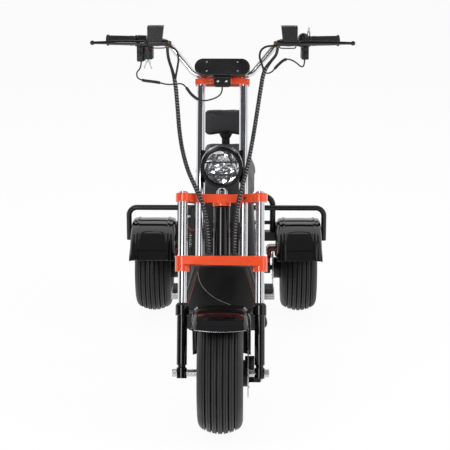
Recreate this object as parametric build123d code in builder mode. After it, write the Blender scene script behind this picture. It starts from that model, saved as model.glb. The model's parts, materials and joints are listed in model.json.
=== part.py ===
# Three-wheeled electric scooter: one steered front wheel in a fork with three clamps,
# a step-through body with a seat box, and two wheels on a rear axle under fenders.
# Millimetres, +Z up, nose towards -Y. The origin is on the floor under the middle.
from build123d import *
import os
from math import atan2, cos, degrees, hypot, pi, radians, sin, tan

os.makedirs("parts", exist_ok=True)

# Clearances
fit_gap = 0.3           # between nested or nearly touching faces
bearing_gap = 1.0       # between the head tube and the clamps above and below it

# Wheels
wheelbase = 1300.0
rear_track = 602.0      # between the middles of the rear tyres
front_radius = 200.0
rear_radius = 180.0
tyre_width = 150.0
sidewall = 90.0         # tyre radius less rim radius
bead_rise = 35.0        # from the rim up to the widest part of the tyre
shoulder_rise = 42.0    # from the crown down to the widest part
shoulder_inset = 21.0
shoulder_drop = 14.0
crown_width = 40.0
rim_width = 112.0
rim_wall = 8.0
rim_web = 14.0
rim_windows = 6
window_margin = 8.0
hub_radius = 30.0
hub_length = 100.0
front_axle_radius = 8.0
rear_spindle_radius = 10.0

# Brakes
disc_radius = 80.0
disc_thickness = 4.0
disc_hat_radius = 44.0
front_disc_x = 91.0
rear_disc_x = 195.0
disc_clearance = 5.0    # from the disc to the caliper around it
front_caliper_low = -30.0       # along the leg, from the axle
front_caliper_length = 88.0
front_caliper_back = 56.0       # middle of the caliper behind the leg's line
front_caliper_depth = 66.0
front_lug_low = -30.0
front_lug_length = 42.0
front_lug_depth = 22.0
front_lug_lap = 8.0             # lug into the caliper and past the leg's middle

# Fork, measured along the legs from the front axle
rake = 21.0             # degrees, legs leaning back
fork_offset = 45.0      # legs ahead of the steering axis
fork_width = 258.0      # between the outer legs
riser_width = 146.0     # between the inner risers
tube_radius = 15.0
slider_radius = 17.0
slider_neck_radius = 13.0
slider_foot = -18.0
slider_neck_low = 18.0
slider_neck_high = 26.0
slider_top = 190.0
slider_collar_radius = 22.5
slider_collar_top = 225.0
tube_foot = 100.0
tube_stand = 4.0        # tubes above the clamp that they end in
lower_boss_low = 336.0
lower_bridge_low = 357.0
lower_bridge_height = 31.0
middle_clamp_low = 571.0
middle_clamp_height = 29.0
middle_collar_height = 11.0
middle_collar_radius = 30.0
top_clamp_low = 977.0
top_clamp_height = 20.0
boss_wall = 10.0        # clamp material around a tube
bridge_half = 28.0      # half the depth of a clamp between the risers
top_bulge = 18.0        # top clamp's curved front ahead of its ends
top_pad_width = 60.0
stem_radius = 13.0
stem_nut_radius = 17.0
stem_nut_height = 12.0
head_tube_radius = 28.0
axle_nut_radius = 13.0
axle_nut_length = 14.0
axle_spacer_radius = 12.0

# Handlebar
bar_radius = 11.0
bar_lift = 5.0          # from the top clamp to the underside of the bar
bar_straight = 95.0     # half length of the straight middle
bar_high_x = 190.0
bar_rise = 114.0
bar_forward = 17.0
bar_end_x = 394.0
bar_end_back = 28.0
bar_end_lift = 11.0
bar_bend = 48.0
bar_clamp_x = 40.0
bar_clamp_width = 28.0
bar_clamp_wall = 9.0
grip_length = 100.0
grip_radius = 16.5
grip_flange_radius = 19.5
grip_flange = 6.0
lever_tip_x = 450.0     # outermost point of the whole scooter
lever_thickness = 10.0
lever_width = 12.0
lever_reach = 52.0      # lever ahead of the bar
lever_tip_radius = 8.0

# Brake masters on the bar
master_x = 226.0
master_inner_x = 180.0
master_outer_x = 256.0
master_depth = 34.0
master_height = 26.0
master_ahead = 45.0     # middle of the master ahead of the bar
reservoir_width = 56.0
reservoir_depth = 42.0
reservoir_height = 45.0
clamp_ring_radius = 18.0
clamp_ring_width = 20.0
mirror_boss_radius = 8.0
mirror_boss_height = 34.0    # above the middle of the bar
mirror_hole_radius = 3.4
mirror_hole_depth = 16.0

# Switch pods on the bar
pod_x = 281.0
pod_width = 24.0
pod_depth = 36.0
left_pod_drop = 62.0
right_pod_drop = 70.0
lock_width = 30.0       # inside the right pod
lock_depth = 30.0
lock_rise = 16.0        # top below the bar's middle
lock_drop = 62.0

# Meter and headlamp
meter_width = 187.0
meter_height = 58.0
meter_depth = 30.0
meter_low = 997.0       # along the legs
meter_ahead = 2.0
meter_bracket_width = 57.0
meter_bracket_thickness = 6.0
meter_bracket_low = 962.0
meter_bracket_top = 1012.0
meter_bracket_corner = 9.0
lamp_up = 710.0         # along the risers
lamp_ahead = 71.0       # front of the ring ahead of the risers, level
lamp_ring_radius = 68.5
lamp_ring_depth = 34.0
lamp_lens_radius = 60.0
lamp_lens_thickness = 5.0
lamp_recess = 26.0
lamp_bowl_radius = 55.0
lamp_bowl_end_radius = 24.0
lamp_bowl_depth = 100.0
lamp_ear_depth = 26.0
lamp_ear_height = 24.0

# Front fender
front_fender_gap = 22.0     # outside of the fender from the tyre
front_fender_half = 92.0
front_fender_rear_half = 98.0    # behind the legs
front_fender_skirt = 26.0
front_fender_front = 56.0   # degrees of the front lip above level
front_fender_arc = 128.0
front_fender_step = 70.0         # degrees from the lip to the wider rear
fender_wall = 4.0
fender_edge = 16.0
fender_lug_half = 14.0

# Cowl, spine, deck and pedals; places are behind the front axle
cowl_top_back = 268.0
cowl_top = 525.0
cowl_bottom = 237.0
cowl_lean = 12.5            # degrees
cowl_thickness = 26.0
cowl_top_half = 85.0
cowl_bottom_half = 166.0
cowl_corner = 24.0
spine_width = 56.0
spine_neck_up = 480.0       # along the steering axis
spine_shoulder = 605.0      # height where the neck turns down
spine_bend = 60.0
deck_top = 250.0
deck_thickness = 25.0
deck_half = 120.0
deck_notch_back = 480.0
pedal_inner = 130.0
pedal_outer = 184.0
pedal_front_back = 430.0
pedal_length = 88.0
pedal_base_low = 316.0
pedal_base_top = 340.0
pedal_pad_height = 12.0
pedal_pad_margin = 2.0
pedal_arm_width = 26.0
pedal_arm_length = 44.0

# Body box, seat and backrest
body_front_back = 620.0
body_rear_ahead = 180.0     # body box ahead of the rear axle
body_bottom = 150.0
body_top = 625.0
body_bottom_half = 150.0
body_waist = 300.0          # top of the wide battery box
body_ledge = 34.0           # slope from the battery box up to the seat's panels
body_waist_half = 124.0
body_top_half = 105.0
body_corner = 26.0
seat_front_back = 600.0
seat_rear_ahead = 20.0      # seat's tail ahead of the back of the body box
seat_nose = 160.0           # from the seat's front to where it is full width
seat_shoulder = 45.0        # seat's edge line below its top
seat_tuck = 38.0
back_post_width = 32.0
back_post_thickness = 12.0
back_post_low = 540.0
back_pad_width = 184.0
back_pad_height = 110.0
back_pad_thickness = 44.0
back_pad_low = 782.0
back_pad_cover = 20.0       # pad above the top of its post
back_pad_corner = 26.0

# Rear frame and axle; heights are above the rear axle
axle_beam = 40.0            # square beam
axle_beam_half = 185.0
motor_radius = 75.0
motor_half = 78.0
arm_x = 124.0
arm_width = 30.0
beam_rise = 120.0           # underside of the cross beam
beam_height = 38.0
beam_front = 20.0           # cross beam ahead of the axle
beam_rear = 25.0
beam_half = 205.0
rail_member_x = 80.0
rail_member_width = 30.0
shock_x = 124.0
shock_radius = 21.0
shock_cap_radius = 24.0
shock_cap_height = 10.0
caliper_half = 25.0
caliper_length = 60.0
caliper_rise = 52.0
caliper_height = 46.0
caliper_foot = 14.0
rear_fender_gap = 32.0
rear_fender_half = 93.0
rear_fender_skirt = 30.0
rear_fender_front = 23.5    # degrees of the front lip above level
rear_fender_tail = 10.0     # degrees of the rear edge above level
fender_plate_length = 60.0
rack_radius = 11.0
rack_rise = 261.0           # middle of the fender rail
rack_end_rise = 123.0
rack_bend = 34.0
grab_radius = 12.0
grab_rise = 305.0
grab_bend = 40.0
grab_rung_rise = 192.0
grab_rung_radius = 8.0
lamp_bar_width = 150.0
lamp_bar_height = 34.0
lamp_bar_depth = 26.0

# Cords
harness_diameter = 14.0
lead_diameter = 5.0
cord_share = 0.45           # share of the shorter run that an arc takes up

# Places worked out from the driving dimensions
rear_fender_radius = rear_radius + rear_fender_gap
rear_tail = rear_fender_radius * cos(radians(rear_fender_tail))
front_axle_y = front_radius - (front_radius + wheelbase + rear_tail) / 2
rear_axle_y = front_axle_y + wheelbase
beam_low = rear_radius + beam_rise
beam_high = beam_low + beam_height
caliper_low = rear_radius + caliper_rise
caliper_high = caliper_low + caliper_height
rack_height = rear_radius + rack_rise
rack_end = rear_radius + rack_end_rise
grab_top = rear_radius + grab_rise
grab_half = beam_half - grab_radius
back_post_top = back_pad_low + back_pad_height - back_pad_cover
lower_clamp_top = lower_bridge_low + lower_bridge_height
middle_clamp_top = middle_clamp_low + middle_clamp_height
top_clamp_top = top_clamp_low + top_clamp_height
grab_rung = rear_radius + grab_rung_rise
lean = radians(rake)
fork = Plane(
    origin=(0, front_axle_y, front_radius),
    x_dir=(1, 0, 0),
    z_dir=(0, sin(lean), cos(lean)),
)
leg_x = fork_width / 2
riser_x = riser_width / 2
tube_bore = tube_radius + fit_gap
stem_bore = stem_radius + fit_gap
sides = (("left", 1), ("right", -1))


def save(name, builder):
    """Label a finished piece and write it to its file."""
    builder.part.label = name
    export_step(builder.part, f"parts/{name}.step")


def fork_point(x, back, up):
    """A point given along the raked fork, in the scooter's own frame."""
    return fork.from_local_coords(Vector(x, back, up))


def across(x, y, z):
    """A plane through a wheel's middle whose second axis points up."""
    return Plane(origin=(x, y, z), x_dir=(1, 0, 0), z_dir=(0, -1, 0))


# Wheels: plain tyre, webbed rim and brake disc on its hat
def make_tyre(x, y, radius):
    half = tyre_width / 2
    rim_radius = radius - sidewall
    flank = (
        (rim_width / 2, rim_radius),
        (half, rim_radius + bead_rise),
        (half, radius - shoulder_rise),
        (half - shoulder_inset, radius - shoulder_drop),
        (crown_width / 2, radius),
    )
    other_flank = [(-axial, height) for axial, height in reversed(flank)]
    with BuildPart() as tyre:
        with BuildSketch(across(x, y, radius)):
            Polygon(*flank, *other_flank)
        revolve(axis=Axis((x, y, radius), (1, 0, 0)))
    return tyre


def make_rim(x, y, radius, bore):
    outer = radius - sidewall - fit_gap
    inner = outer - rim_wall
    half = rim_width / 2
    window_circle = (inner + hub_radius) / 2
    radial_room = (inner - hub_radius) / 2 - window_margin
    spoke_room = window_circle * sin(pi / rim_windows) - window_margin / 2
    flank = (
        (half, outer),
        (half, inner),
        (rim_web / 2, inner),
        (rim_web / 2, hub_radius),
        (hub_length / 2, hub_radius),
        (hub_length / 2, bore),
    )
    other_flank = [(-axial, height) for axial, height in reversed(flank)]
    with BuildPart() as rim:
        with BuildSketch(across(x, y, radius)):
            Polygon(*flank, *other_flank)
        revolve(axis=Axis((x, y, radius), (1, 0, 0)))
        with BuildSketch(Plane(origin=(x, y, radius), x_dir=(0, 1, 0), z_dir=(1, 0, 0))):
            with PolarLocations(window_circle, rim_windows):
                Circle(min(radial_room, spoke_room))
        extrude(amount=rim_web, both=True, mode=Mode.SUBTRACT)
    return rim


def make_disc(x, y, z, towards, distance, bore):
    near = distance - disc_thickness / 2
    far = distance + disc_thickness / 2
    profile = (
        (hub_length / 2, bore),
        (hub_length / 2, disc_hat_radius),
        (near, disc_hat_radius),
        (near, disc_radius),
        (far, disc_radius),
        (far, bore),
    )
    with BuildPart() as disc:
        with BuildSketch(across(x, y, z)):
            Polygon(*[(towards * axial, height) for axial, height in profile])
        revolve(axis=Axis((x, y, z), (1, 0, 0)))
    return disc


front_bore = front_axle_radius + fit_gap
rear_bore = rear_spindle_radius + fit_gap
save("front_tyre", make_tyre(0, front_axle_y, front_radius))
save("front_rim", make_rim(0, front_axle_y, front_radius, front_bore))
save("front_disc", make_disc(0, front_axle_y, front_radius, 1, front_disc_x, front_bore))
rear_wheel_x = rear_track / 2
for side, sign in sides:
    wheel_x = sign * rear_wheel_x
    save(f"rear_tyre_{side}", make_tyre(wheel_x, rear_axle_y, rear_radius))
    save(f"rear_rim_{side}", make_rim(wheel_x, rear_axle_y, rear_radius, rear_bore))
    rear_disc = make_disc(
        wheel_x, rear_axle_y, rear_radius, -sign, rear_wheel_x - rear_disc_x, rear_bore
    )
    save(f"rear_disc_{side}", rear_disc)

# Front axle with a spacer each side of the wheel and a nut outside each leg
slider_inner = leg_x - slider_radius
slider_outer = leg_x + slider_radius
axle_end = slider_outer + fit_gap + axle_nut_length
disc_face = front_disc_x + disc_thickness / 2 + bearing_gap
with BuildPart() as front_axle:
    with BuildSketch(Plane.YZ.offset(-axle_end)):
        with Locations((front_axle_y, front_radius)):
            Circle(front_axle_radius)
    extrude(amount=2 * axle_end)
    for start, end in ((disc_face, slider_inner), (-slider_inner, -hub_length / 2 - bearing_gap)):
        with BuildSketch(Plane.YZ.offset(start)):
            with Locations((front_axle_y, front_radius)):
                Circle(axle_spacer_radius)
        extrude(amount=end - start)
    for start in (slider_outer + fit_gap, -axle_end):
        with BuildSketch(Plane.YZ.offset(start)):
            with Locations((front_axle_y, front_radius)):
                RegularPolygon(axle_nut_radius, 6)
        extrude(amount=axle_nut_length)
save("front_axle", front_axle)

# Fork sliders: turned legs with a neck over the axle lug and a collar at the seal
slider_profile = (
    (0, slider_foot),
    (slider_radius, slider_foot),
    (slider_radius, slider_neck_low),
    (slider_neck_radius, slider_neck_low),
    (slider_neck_radius, slider_neck_high),
    (slider_radius, slider_neck_high),
    (slider_radius, slider_top),
    (slider_collar_radius, slider_top),
    (slider_collar_radius, slider_collar_top),
    (tube_bore, slider_collar_top),
    (tube_bore, tube_foot - fit_gap),
    (0, tube_foot - fit_gap),
)
for side, sign in sides:
    leg = Plane(
        origin=fork_point(sign * leg_x, 0, 0),
        x_dir=(1, 0, 0),
        z_dir=fork.y_dir.reverse(),
    )
    with BuildPart() as slider:
        with BuildSketch(leg):
            Polygon(*slider_profile)
        revolve(axis=Axis(leg.origin, fork.z_dir))
        with BuildSketch(Plane.YZ.offset(sign * leg_x)):
            with Locations((front_axle_y, front_radius)):
                Circle(front_bore)
        extrude(amount=2 * slider_radius, both=True, mode=Mode.SUBTRACT)
    save(f"fork_slider_{side}", slider)

    with BuildPart() as tube:
        with BuildSketch(fork.offset(tube_foot)):
            with Locations((sign * leg_x, 0)):
                Circle(tube_radius)
        extrude(amount=middle_clamp_top + tube_stand - tube_foot)
    save(f"fork_tube_{side}", tube)

    with BuildPart() as riser:
        with BuildSketch(fork.offset(lower_bridge_low)):
            with Locations((sign * riser_x, fork_offset)):
                Circle(tube_radius)
        extrude(amount=top_clamp_top + tube_stand - lower_bridge_low)
    save(f"riser_tube_{side}", riser)


# Clamps: bosses around the tubes, joined by a bridge that also takes the stem
boss_radius = tube_radius + boss_wall


def drill(low, high, places, radius):
    """Bore straight through the open clamp along the fork."""
    with BuildSketch(fork.offset(low)) as bores:
        with Locations(*places):
            Circle(radius)
    extrude(bores.sketch, amount=high - low, mode=Mode.SUBTRACT)


leg_places = ((-leg_x, 0), (leg_x, 0))
riser_places = ((-riser_x, fork_offset), (riser_x, fork_offset))
stem_place = ((0, fork_offset),)
rear_edge = fork_offset + boss_radius - fit_gap
bridge_outline = (
    (-leg_x, -boss_radius),
    (leg_x, -boss_radius),
    (leg_x, boss_radius),
    (riser_x + boss_radius, rear_edge),
    (-riser_x - boss_radius, rear_edge),
    (-leg_x, boss_radius),
)
with BuildPart() as lower_clamp:
    with BuildSketch(fork.offset(lower_boss_low)):
        with Locations(*leg_places):
            Circle(boss_radius)
    extrude(amount=lower_clamp_top - lower_boss_low)
    with BuildSketch(fork.offset(lower_bridge_low)):
        Polygon(*bridge_outline)
    extrude(amount=lower_clamp_top - lower_bridge_low)
    drill(lower_boss_low, lower_clamp_top, leg_places, tube_bore)
    drill(lower_boss_low, lower_clamp_top, riser_places, tube_bore)
    drill(lower_boss_low, lower_clamp_top, stem_place, stem_bore)
save("lower_clamp", lower_clamp)

neck_length = hypot(leg_x - riser_x, fork_offset)
neck_angle = degrees(atan2(fork_offset, riser_x - leg_x))
collar_low = middle_clamp_low - middle_collar_height
with BuildPart() as middle_clamp:
    with BuildSketch(fork.offset(middle_clamp_low)):
        with Locations(*leg_places):
            Circle(boss_radius)
        with Locations(((leg_x + riser_x) / 2, fork_offset / 2)):
            SlotCenterToCenter(neck_length, 2 * boss_radius - boss_wall, rotation=neck_angle)
        with Locations((-(leg_x + riser_x) / 2, fork_offset / 2)):
            SlotCenterToCenter(neck_length, 2 * boss_radius - boss_wall, rotation=-neck_angle)
        with Locations((0, fork_offset)):
            SlotCenterToCenter(riser_width, 2 * bridge_half)
    extrude(amount=middle_clamp_top - middle_clamp_low)
    with BuildSketch(fork.offset(collar_low)):
        with Locations(*stem_place):
            Circle(middle_collar_radius)
    extrude(amount=middle_collar_height)
    drill(middle_clamp_low, middle_clamp_top, leg_places, tube_bore)
    drill(middle_clamp_low, middle_clamp_top, riser_places, tube_bore)
    drill(collar_low, middle_clamp_top, stem_place, stem_bore)
save("middle_clamp", middle_clamp)

top_half = riser_x + boss_radius - boss_wall / 2
top_front = fork_offset - boss_radius + boss_wall / 2
top_rear = fork_offset + boss_radius - boss_wall / 2
with BuildPart() as top_clamp:
    with BuildSketch(fork.offset(top_clamp_low)):
        with BuildLine():
            ThreePointArc((-top_half, top_front), (0, top_front - top_bulge), (top_half, top_front))
            Line((top_half, top_front), (top_half, top_rear))
            Line((top_half, top_rear), (-top_half, top_rear))
            Line((-top_half, top_rear), (-top_half, top_front))
        make_face()
        with Locations((0, fork_offset / 2)):
            Rectangle(top_pad_width, fork_offset)
    extrude(amount=top_clamp_top - top_clamp_low)
    drill(top_clamp_low, top_clamp_top, riser_places, tube_bore)
save("top_clamp", top_clamp)

# Steering stem through the head tube, with a nut above the middle clamp
with BuildPart() as steering_stem:
    with BuildSketch(fork.offset(lower_bridge_low)):
        with Locations(*stem_place):
            Circle(stem_radius)
    extrude(amount=middle_clamp_top - lower_bridge_low)
    with BuildSketch(fork.offset(middle_clamp_top)):
        with Locations(*stem_place):
            RegularPolygon(stem_nut_radius, 6)
    extrude(amount=stem_nut_height)
save("steering_stem", steering_stem)


# Fenders: arched shells with rounded edges, turned about their wheel's axle
def arch(x, y, z, half, radius, skirt, start, turn):
    """Add an arched shell to the open part; angles from level ahead, over the top."""
    angle = radians(start)
    section = Plane(
        origin=(x, y, z), x_dir=(1, 0, 0), z_dir=(0, -sin(angle), -cos(angle))
    )
    with BuildSketch(section) as shell:
        with Locations((0, radius - skirt)):
            RectangleRounded(2 * half, 2 * skirt, fender_edge)
            RectangleRounded(
                2 * (half - fender_wall),
                2 * (skirt - fender_wall),
                fender_edge - fender_wall,
                mode=Mode.SUBTRACT,
            )
        with Locations((0, radius - 1.5 * skirt)):
            Rectangle(2 * half, skirt, mode=Mode.SUBTRACT)
    revolve(shell.sketch, axis=Axis((x, y, z), (-1, 0, 0)), revolution_arc=turn)


front_fender_radius = front_radius + front_fender_gap
collar_inner = leg_x - slider_collar_radius
lug_low = front_fender_radius - front_fender_skirt + fender_wall / 2
with BuildPart() as front_fender:
    arch(
        0,
        front_axle_y,
        front_radius,
        front_fender_half,
        front_fender_radius,
        front_fender_skirt,
        front_fender_front,
        front_fender_step,
    )
    arch(
        0,
        front_axle_y,
        front_radius,
        front_fender_rear_half,
        front_fender_radius,
        front_fender_skirt,
        front_fender_front + front_fender_step,
        front_fender_arc - front_fender_step,
    )
    lug_width = collar_inner - fit_gap - front_fender_half + fender_wall
    with BuildSketch(fork.offset(lug_low)):
        for sign in (-1, 1):
            with Locations((sign * (front_fender_half - fender_wall + lug_width / 2), 0)):
                Rectangle(lug_width, 2 * fender_lug_half)
    extrude(amount=front_fender_skirt - fender_edge)
save("front_fender", front_fender)

# Front caliper around the back of the disc, with a lug behind the left leg
caliper_inner = tyre_width / 2 + disc_clearance
caliper_outer = slider_inner - fit_gap
caliper_lug_back = slider_radius + fit_gap
with BuildPart() as front_caliper:
    with BuildSketch(fork.offset(front_caliper_low)):
        with Locations(((caliper_inner + caliper_outer) / 2, front_caliper_back)):
            Rectangle(caliper_outer - caliper_inner, front_caliper_depth)
    extrude(amount=front_caliper_length)
    with BuildSketch(fork.offset(front_lug_low)):
        with Locations(((caliper_outer + leg_x) / 2, caliper_lug_back + front_lug_depth / 2)):
            Rectangle(leg_x - caliper_outer + front_lug_lap, front_lug_depth)
    extrude(amount=front_lug_length)
    with BuildSketch(Plane.YZ.offset(front_disc_x - disc_thickness / 2 - disc_clearance)):
        with Locations((front_axle_y, front_radius)):
            Circle(disc_radius + disc_clearance)
    extrude(amount=disc_thickness + 2 * disc_clearance, mode=Mode.SUBTRACT)
    with BuildSketch(Plane.YZ.offset(caliper_inner)):
        with Locations((front_axle_y, front_radius)):
            Circle(disc_hat_radius + disc_clearance)
    extrude(amount=caliper_outer - caliper_inner, mode=Mode.SUBTRACT)
save("front_caliper", front_caliper)

# Handlebar: straight middle, a rise each side and swept-back ends
bar_up = top_clamp_top + bar_lift + bar_radius
bar_low_point = fork_point(bar_straight, fork_offset, bar_up)
bar_high_point = fork_point(bar_high_x, fork_offset - bar_forward, bar_up + bar_rise)
bar_end_point = fork_point(
    bar_end_x, fork_offset - bar_forward + bar_end_back, bar_up + bar_rise + bar_end_lift
)


def other_side(point):
    """The same point on the other side of the scooter."""
    return Vector(-point.X, point.Y, point.Z)


bar_points = (
    other_side(bar_end_point),
    other_side(bar_high_point),
    other_side(bar_low_point),
    bar_low_point,
    bar_high_point,
    bar_end_point,
)
with BuildPart() as handlebar:
    with BuildLine():
        FilletPolyline(*bar_points, radius=bar_bend)
    with BuildSketch(Plane(origin=bar_points[0], z_dir=bar_points[1] - bar_points[0])):
        Circle(bar_radius)
    sweep()
save("handlebar", handlebar)

with BuildPart() as bar_clamps:
    with BuildSketch(Plane.YZ.offset(bar_clamp_x - bar_clamp_width / 2)):
        with Locations((bar_low_point.Y, bar_low_point.Z)):
            Rectangle(
                2 * (bar_radius + bar_clamp_wall),
                2 * (bar_radius + bar_lift),
                rotation=-rake,
            )
            Circle(bar_radius + fit_gap, mode=Mode.SUBTRACT)
    extrude(amount=bar_clamp_width)
    mirror(about=Plane.YZ)
save("bar_clamps", bar_clamps)

# Pieces on the bar's outer ends, placed by how far out they sit
bar_direction = (bar_end_point - bar_high_point).normalized()


def bar_at(x):
    """The middle of the bar's outer run, that far from the middle of the scooter."""
    share = (x - bar_high_x) / (bar_end_x - bar_high_x)
    return bar_high_point + (bar_end_point - bar_high_point) * share


def bar_station(x):
    """A plane across the bar: first axis back, second axis up."""
    return Plane(origin=bar_at(x), x_dir=(0, 1, 0), z_dir=bar_direction)


grip_start = bar_end_x - grip_length
with BuildPart() as grips:
    with BuildSketch(bar_station(grip_start)):
        Circle(grip_radius)
    extrude(amount=grip_length + grip_flange)
    for flange_x in (grip_start, bar_end_x):
        with BuildSketch(bar_station(flange_x)):
            Circle(grip_flange_radius)
        extrude(amount=grip_flange)
    with BuildSketch(bar_station(grip_start - grip_flange)):
        Circle(bar_radius + fit_gap)
    extrude(
        amount=(bar_end_point - bar_at(grip_start - grip_flange)).length + fit_gap,
        mode=Mode.SUBTRACT,
    )
    mirror(about=Plane.YZ)
save("grips", grips)

ring_place = bar_at(master_x)
master_y = ring_place.Y - master_ahead
master_low = ring_place.Z - master_height / 2
master_top = ring_place.Z + master_height / 2
master_back = master_y + master_depth / 2
for side, sign in sides:
    with BuildPart() as master:
        with BuildSketch(Plane.XY.offset(master_low)):
            with Locations(((master_inner_x + master_outer_x) / 2, master_y)):
                Rectangle(master_outer_x - master_inner_x, master_depth)
        extrude(amount=master_height)
        with BuildSketch(Plane.XY.offset(master_top)):
            with Locations((master_x, master_y)):
                RectangleRounded(reservoir_width, reservoir_depth, bar_clamp_wall)
        extrude(amount=reservoir_height)
        with BuildSketch(bar_station(master_x - clamp_ring_width / 2)):
            Circle(clamp_ring_radius)
        extrude(amount=clamp_ring_width)
        bridge_end = ring_place.Y - bar_radius - fit_gap
        with BuildSketch(Plane.XY.offset(master_low)):
            with Locations((master_x, (master_back + bridge_end) / 2)):
                Rectangle(clamp_ring_width, bridge_end - master_back)
        extrude(amount=master_height)
        with BuildSketch(Plane.XY.offset(ring_place.Z)):
            with Locations((master_x, ring_place.Y)):
                Circle(mirror_boss_radius)
        extrude(amount=mirror_boss_height)
        with BuildSketch(Plane.XY.offset(ring_place.Z + mirror_boss_height - mirror_hole_depth)):
            with Locations((master_x, ring_place.Y)):
                Circle(mirror_hole_radius)
        extrude(amount=mirror_hole_depth, mode=Mode.SUBTRACT)
        with BuildSketch(bar_station(master_x - clamp_ring_width)):
            Circle(bar_radius + fit_gap)
        extrude(amount=2 * clamp_ring_width, mode=Mode.SUBTRACT)
        if sign < 0:
            mirror(about=Plane.YZ, mode=Mode.REPLACE)
    save(f"brake_master_{side}", master)

lever_middle_z = ring_place.Z
lever_start = master_outer_x + fit_gap
lever_points = (
    (lever_start, master_y),
    (lever_start + lever_width, master_y),
    (grip_start, bar_at(grip_start).Y - lever_reach),
    (bar_end_x - grip_length / 3, bar_at(grip_start).Y - lever_reach + lever_width / 2),
    (lever_tip_x - lever_tip_radius, bar_at(grip_start).Y - lever_reach - lever_width / 3),
)
with BuildPart() as brake_levers:
    with BuildSketch(Plane.XY.offset(lever_middle_z - lever_thickness / 2)):
        with BuildLine():
            FilletPolyline(*lever_points, radius=lever_width)
        trace(line_width=lever_width)
    extrude(amount=lever_thickness)
    with Locations((lever_points[-1][0], lever_points[-1][1], lever_middle_z)):
        Sphere(lever_tip_radius)
    mirror(about=Plane.YZ)
save("brake_levers", brake_levers)

for (side, sign), drop in zip(sides, (left_pod_drop, right_pod_drop)):
    with BuildPart() as pod:
        with BuildSketch(bar_station(pod_x - pod_width / 2)):
            Circle(clamp_ring_radius)
            with Locations((0, -drop / 2)):
                Rectangle(pod_depth, drop)
            Circle(bar_radius + fit_gap, mode=Mode.SUBTRACT)
        extrude(amount=pod_width)
        if sign < 0:
            with BuildSketch(bar_station(pod_x - pod_width / 2 - lock_width)):
                with Locations((0, -(lock_rise + lock_drop) / 2)):
                    Rectangle(lock_depth, lock_drop - lock_rise)
            extrude(amount=lock_width + pod_width / 2)
            mirror(about=Plane.YZ, mode=Mode.REPLACE)
    save(f"switch_pod_{side}", pod)

# Meter: a long oval case facing the rider, on a bracket bolted to the top clamp's front
with BuildPart() as meter:
    case = Plane(
        origin=fork_point(0, -meter_ahead, meter_low + meter_height / 2),
        x_dir=(1, 0, 0),
        z_dir=fork.y_dir.reverse(),
    )
    with BuildSketch(case):
        SlotOverall(meter_width, meter_height)
    extrude(amount=meter_depth)
    plate = Plane(
        origin=fork_point(0, 0, (meter_bracket_low + meter_bracket_top) / 2),
        x_dir=(1, 0, 0),
        z_dir=fork.y_dir.reverse(),
    )
    with BuildSketch(plate):
        RectangleRounded(
            meter_bracket_width, meter_bracket_top - meter_bracket_low, meter_bracket_corner
        )
    extrude(amount=meter_bracket_thickness)
save("meter", meter)

# Headlamp: a ringed bowl between the risers, held by an ear on each side
lamp_place = fork_point(0, fork_offset, lamp_up)
lamp_front = lamp_place.Y - lamp_ahead
lamp_axis = Axis((0, lamp_front, lamp_place.Z), (0, 1, 0))
lens_seat = lamp_lens_radius + fit_gap
lamp_profile = (
    (lens_seat, 0),
    (lamp_ring_radius, 0),
    (lamp_ring_radius, lamp_ring_depth),
    (lamp_bowl_radius, lamp_ring_depth),
    (lamp_bowl_end_radius, lamp_bowl_depth),
    (0, lamp_bowl_depth),
    (0, lamp_recess),
    (lens_seat, lamp_recess),
)
half_section = Plane(
    origin=(0, lamp_front, lamp_place.Z), x_dir=(1, 0, 0), z_dir=(0, 0, 1)
)
with BuildPart() as headlamp_shell:
    with BuildSketch(half_section):
        Polygon(*lamp_profile)
    revolve(axis=lamp_axis)
    ear_end = riser_x - tube_radius - fit_gap
    ear_start = lamp_bowl_end_radius
    ear_middle = lamp_place.Y - lamp_ear_depth / 2
    with BuildSketch(Plane.XY.offset(lamp_place.Z - lamp_ear_height / 2)):
        for sign in (-1, 1):
            with Locations((sign * (ear_start + ear_end) / 2, ear_middle)):
                Rectangle(ear_end - ear_start, lamp_ear_depth)
    extrude(amount=lamp_ear_height)
save("headlamp_shell", headlamp_shell)

with BuildPart() as headlamp_lens:
    with BuildSketch(Plane.XZ.offset(-lamp_front - lamp_lens_thickness)):
        with Locations((0, lamp_place.Z)):
            Circle(lamp_lens_radius)
    extrude(amount=lamp_lens_thickness)
save("headlamp_lens", headlamp_lens)

# Frame spine: head tube, a neck back over the cowl, a run down behind it and a floor beam
cowl_slope = radians(cowl_lean)
spine_behind = cowl_thickness + spine_width / 2
spine_line_y = front_axle_y + cowl_top_back + cos(cowl_slope) * spine_behind
spine_line_z = cowl_top + sin(cowl_slope) * spine_behind


def spine_y(z):
    """Where the spine's run behind the cowl is, at a height."""
    return spine_line_y + (spine_line_z - z) * tan(cowl_slope)


deck_low = deck_top - deck_thickness
beam_middle = deck_low - spine_width / 2
head_low = lower_clamp_top + bearing_gap
head_high = collar_low - bearing_gap
neck = fork_point(0, fork_offset, spine_neck_up)
body_front = front_axle_y + body_front_back
body_rear = rear_axle_y - body_rear_ahead
spine_points = (
    (neck.Y, neck.Z),
    (spine_y(spine_shoulder), spine_shoulder),
    (spine_y(beam_middle), beam_middle),
    (body_front, beam_middle),
)
with BuildPart() as frame_spine:
    with BuildSketch(Plane.YZ):
        with BuildLine():
            FilletPolyline(*spine_points, radius=spine_bend)
        trace(line_width=spine_width)
    extrude(amount=spine_width / 2, both=True)
    with BuildSketch(fork.offset(head_low)):
        with Locations(*stem_place):
            Circle(head_tube_radius)
    extrude(amount=head_high - head_low)
    drill(head_low, head_high, stem_place, stem_bore)
save("frame_spine", frame_spine)

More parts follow.
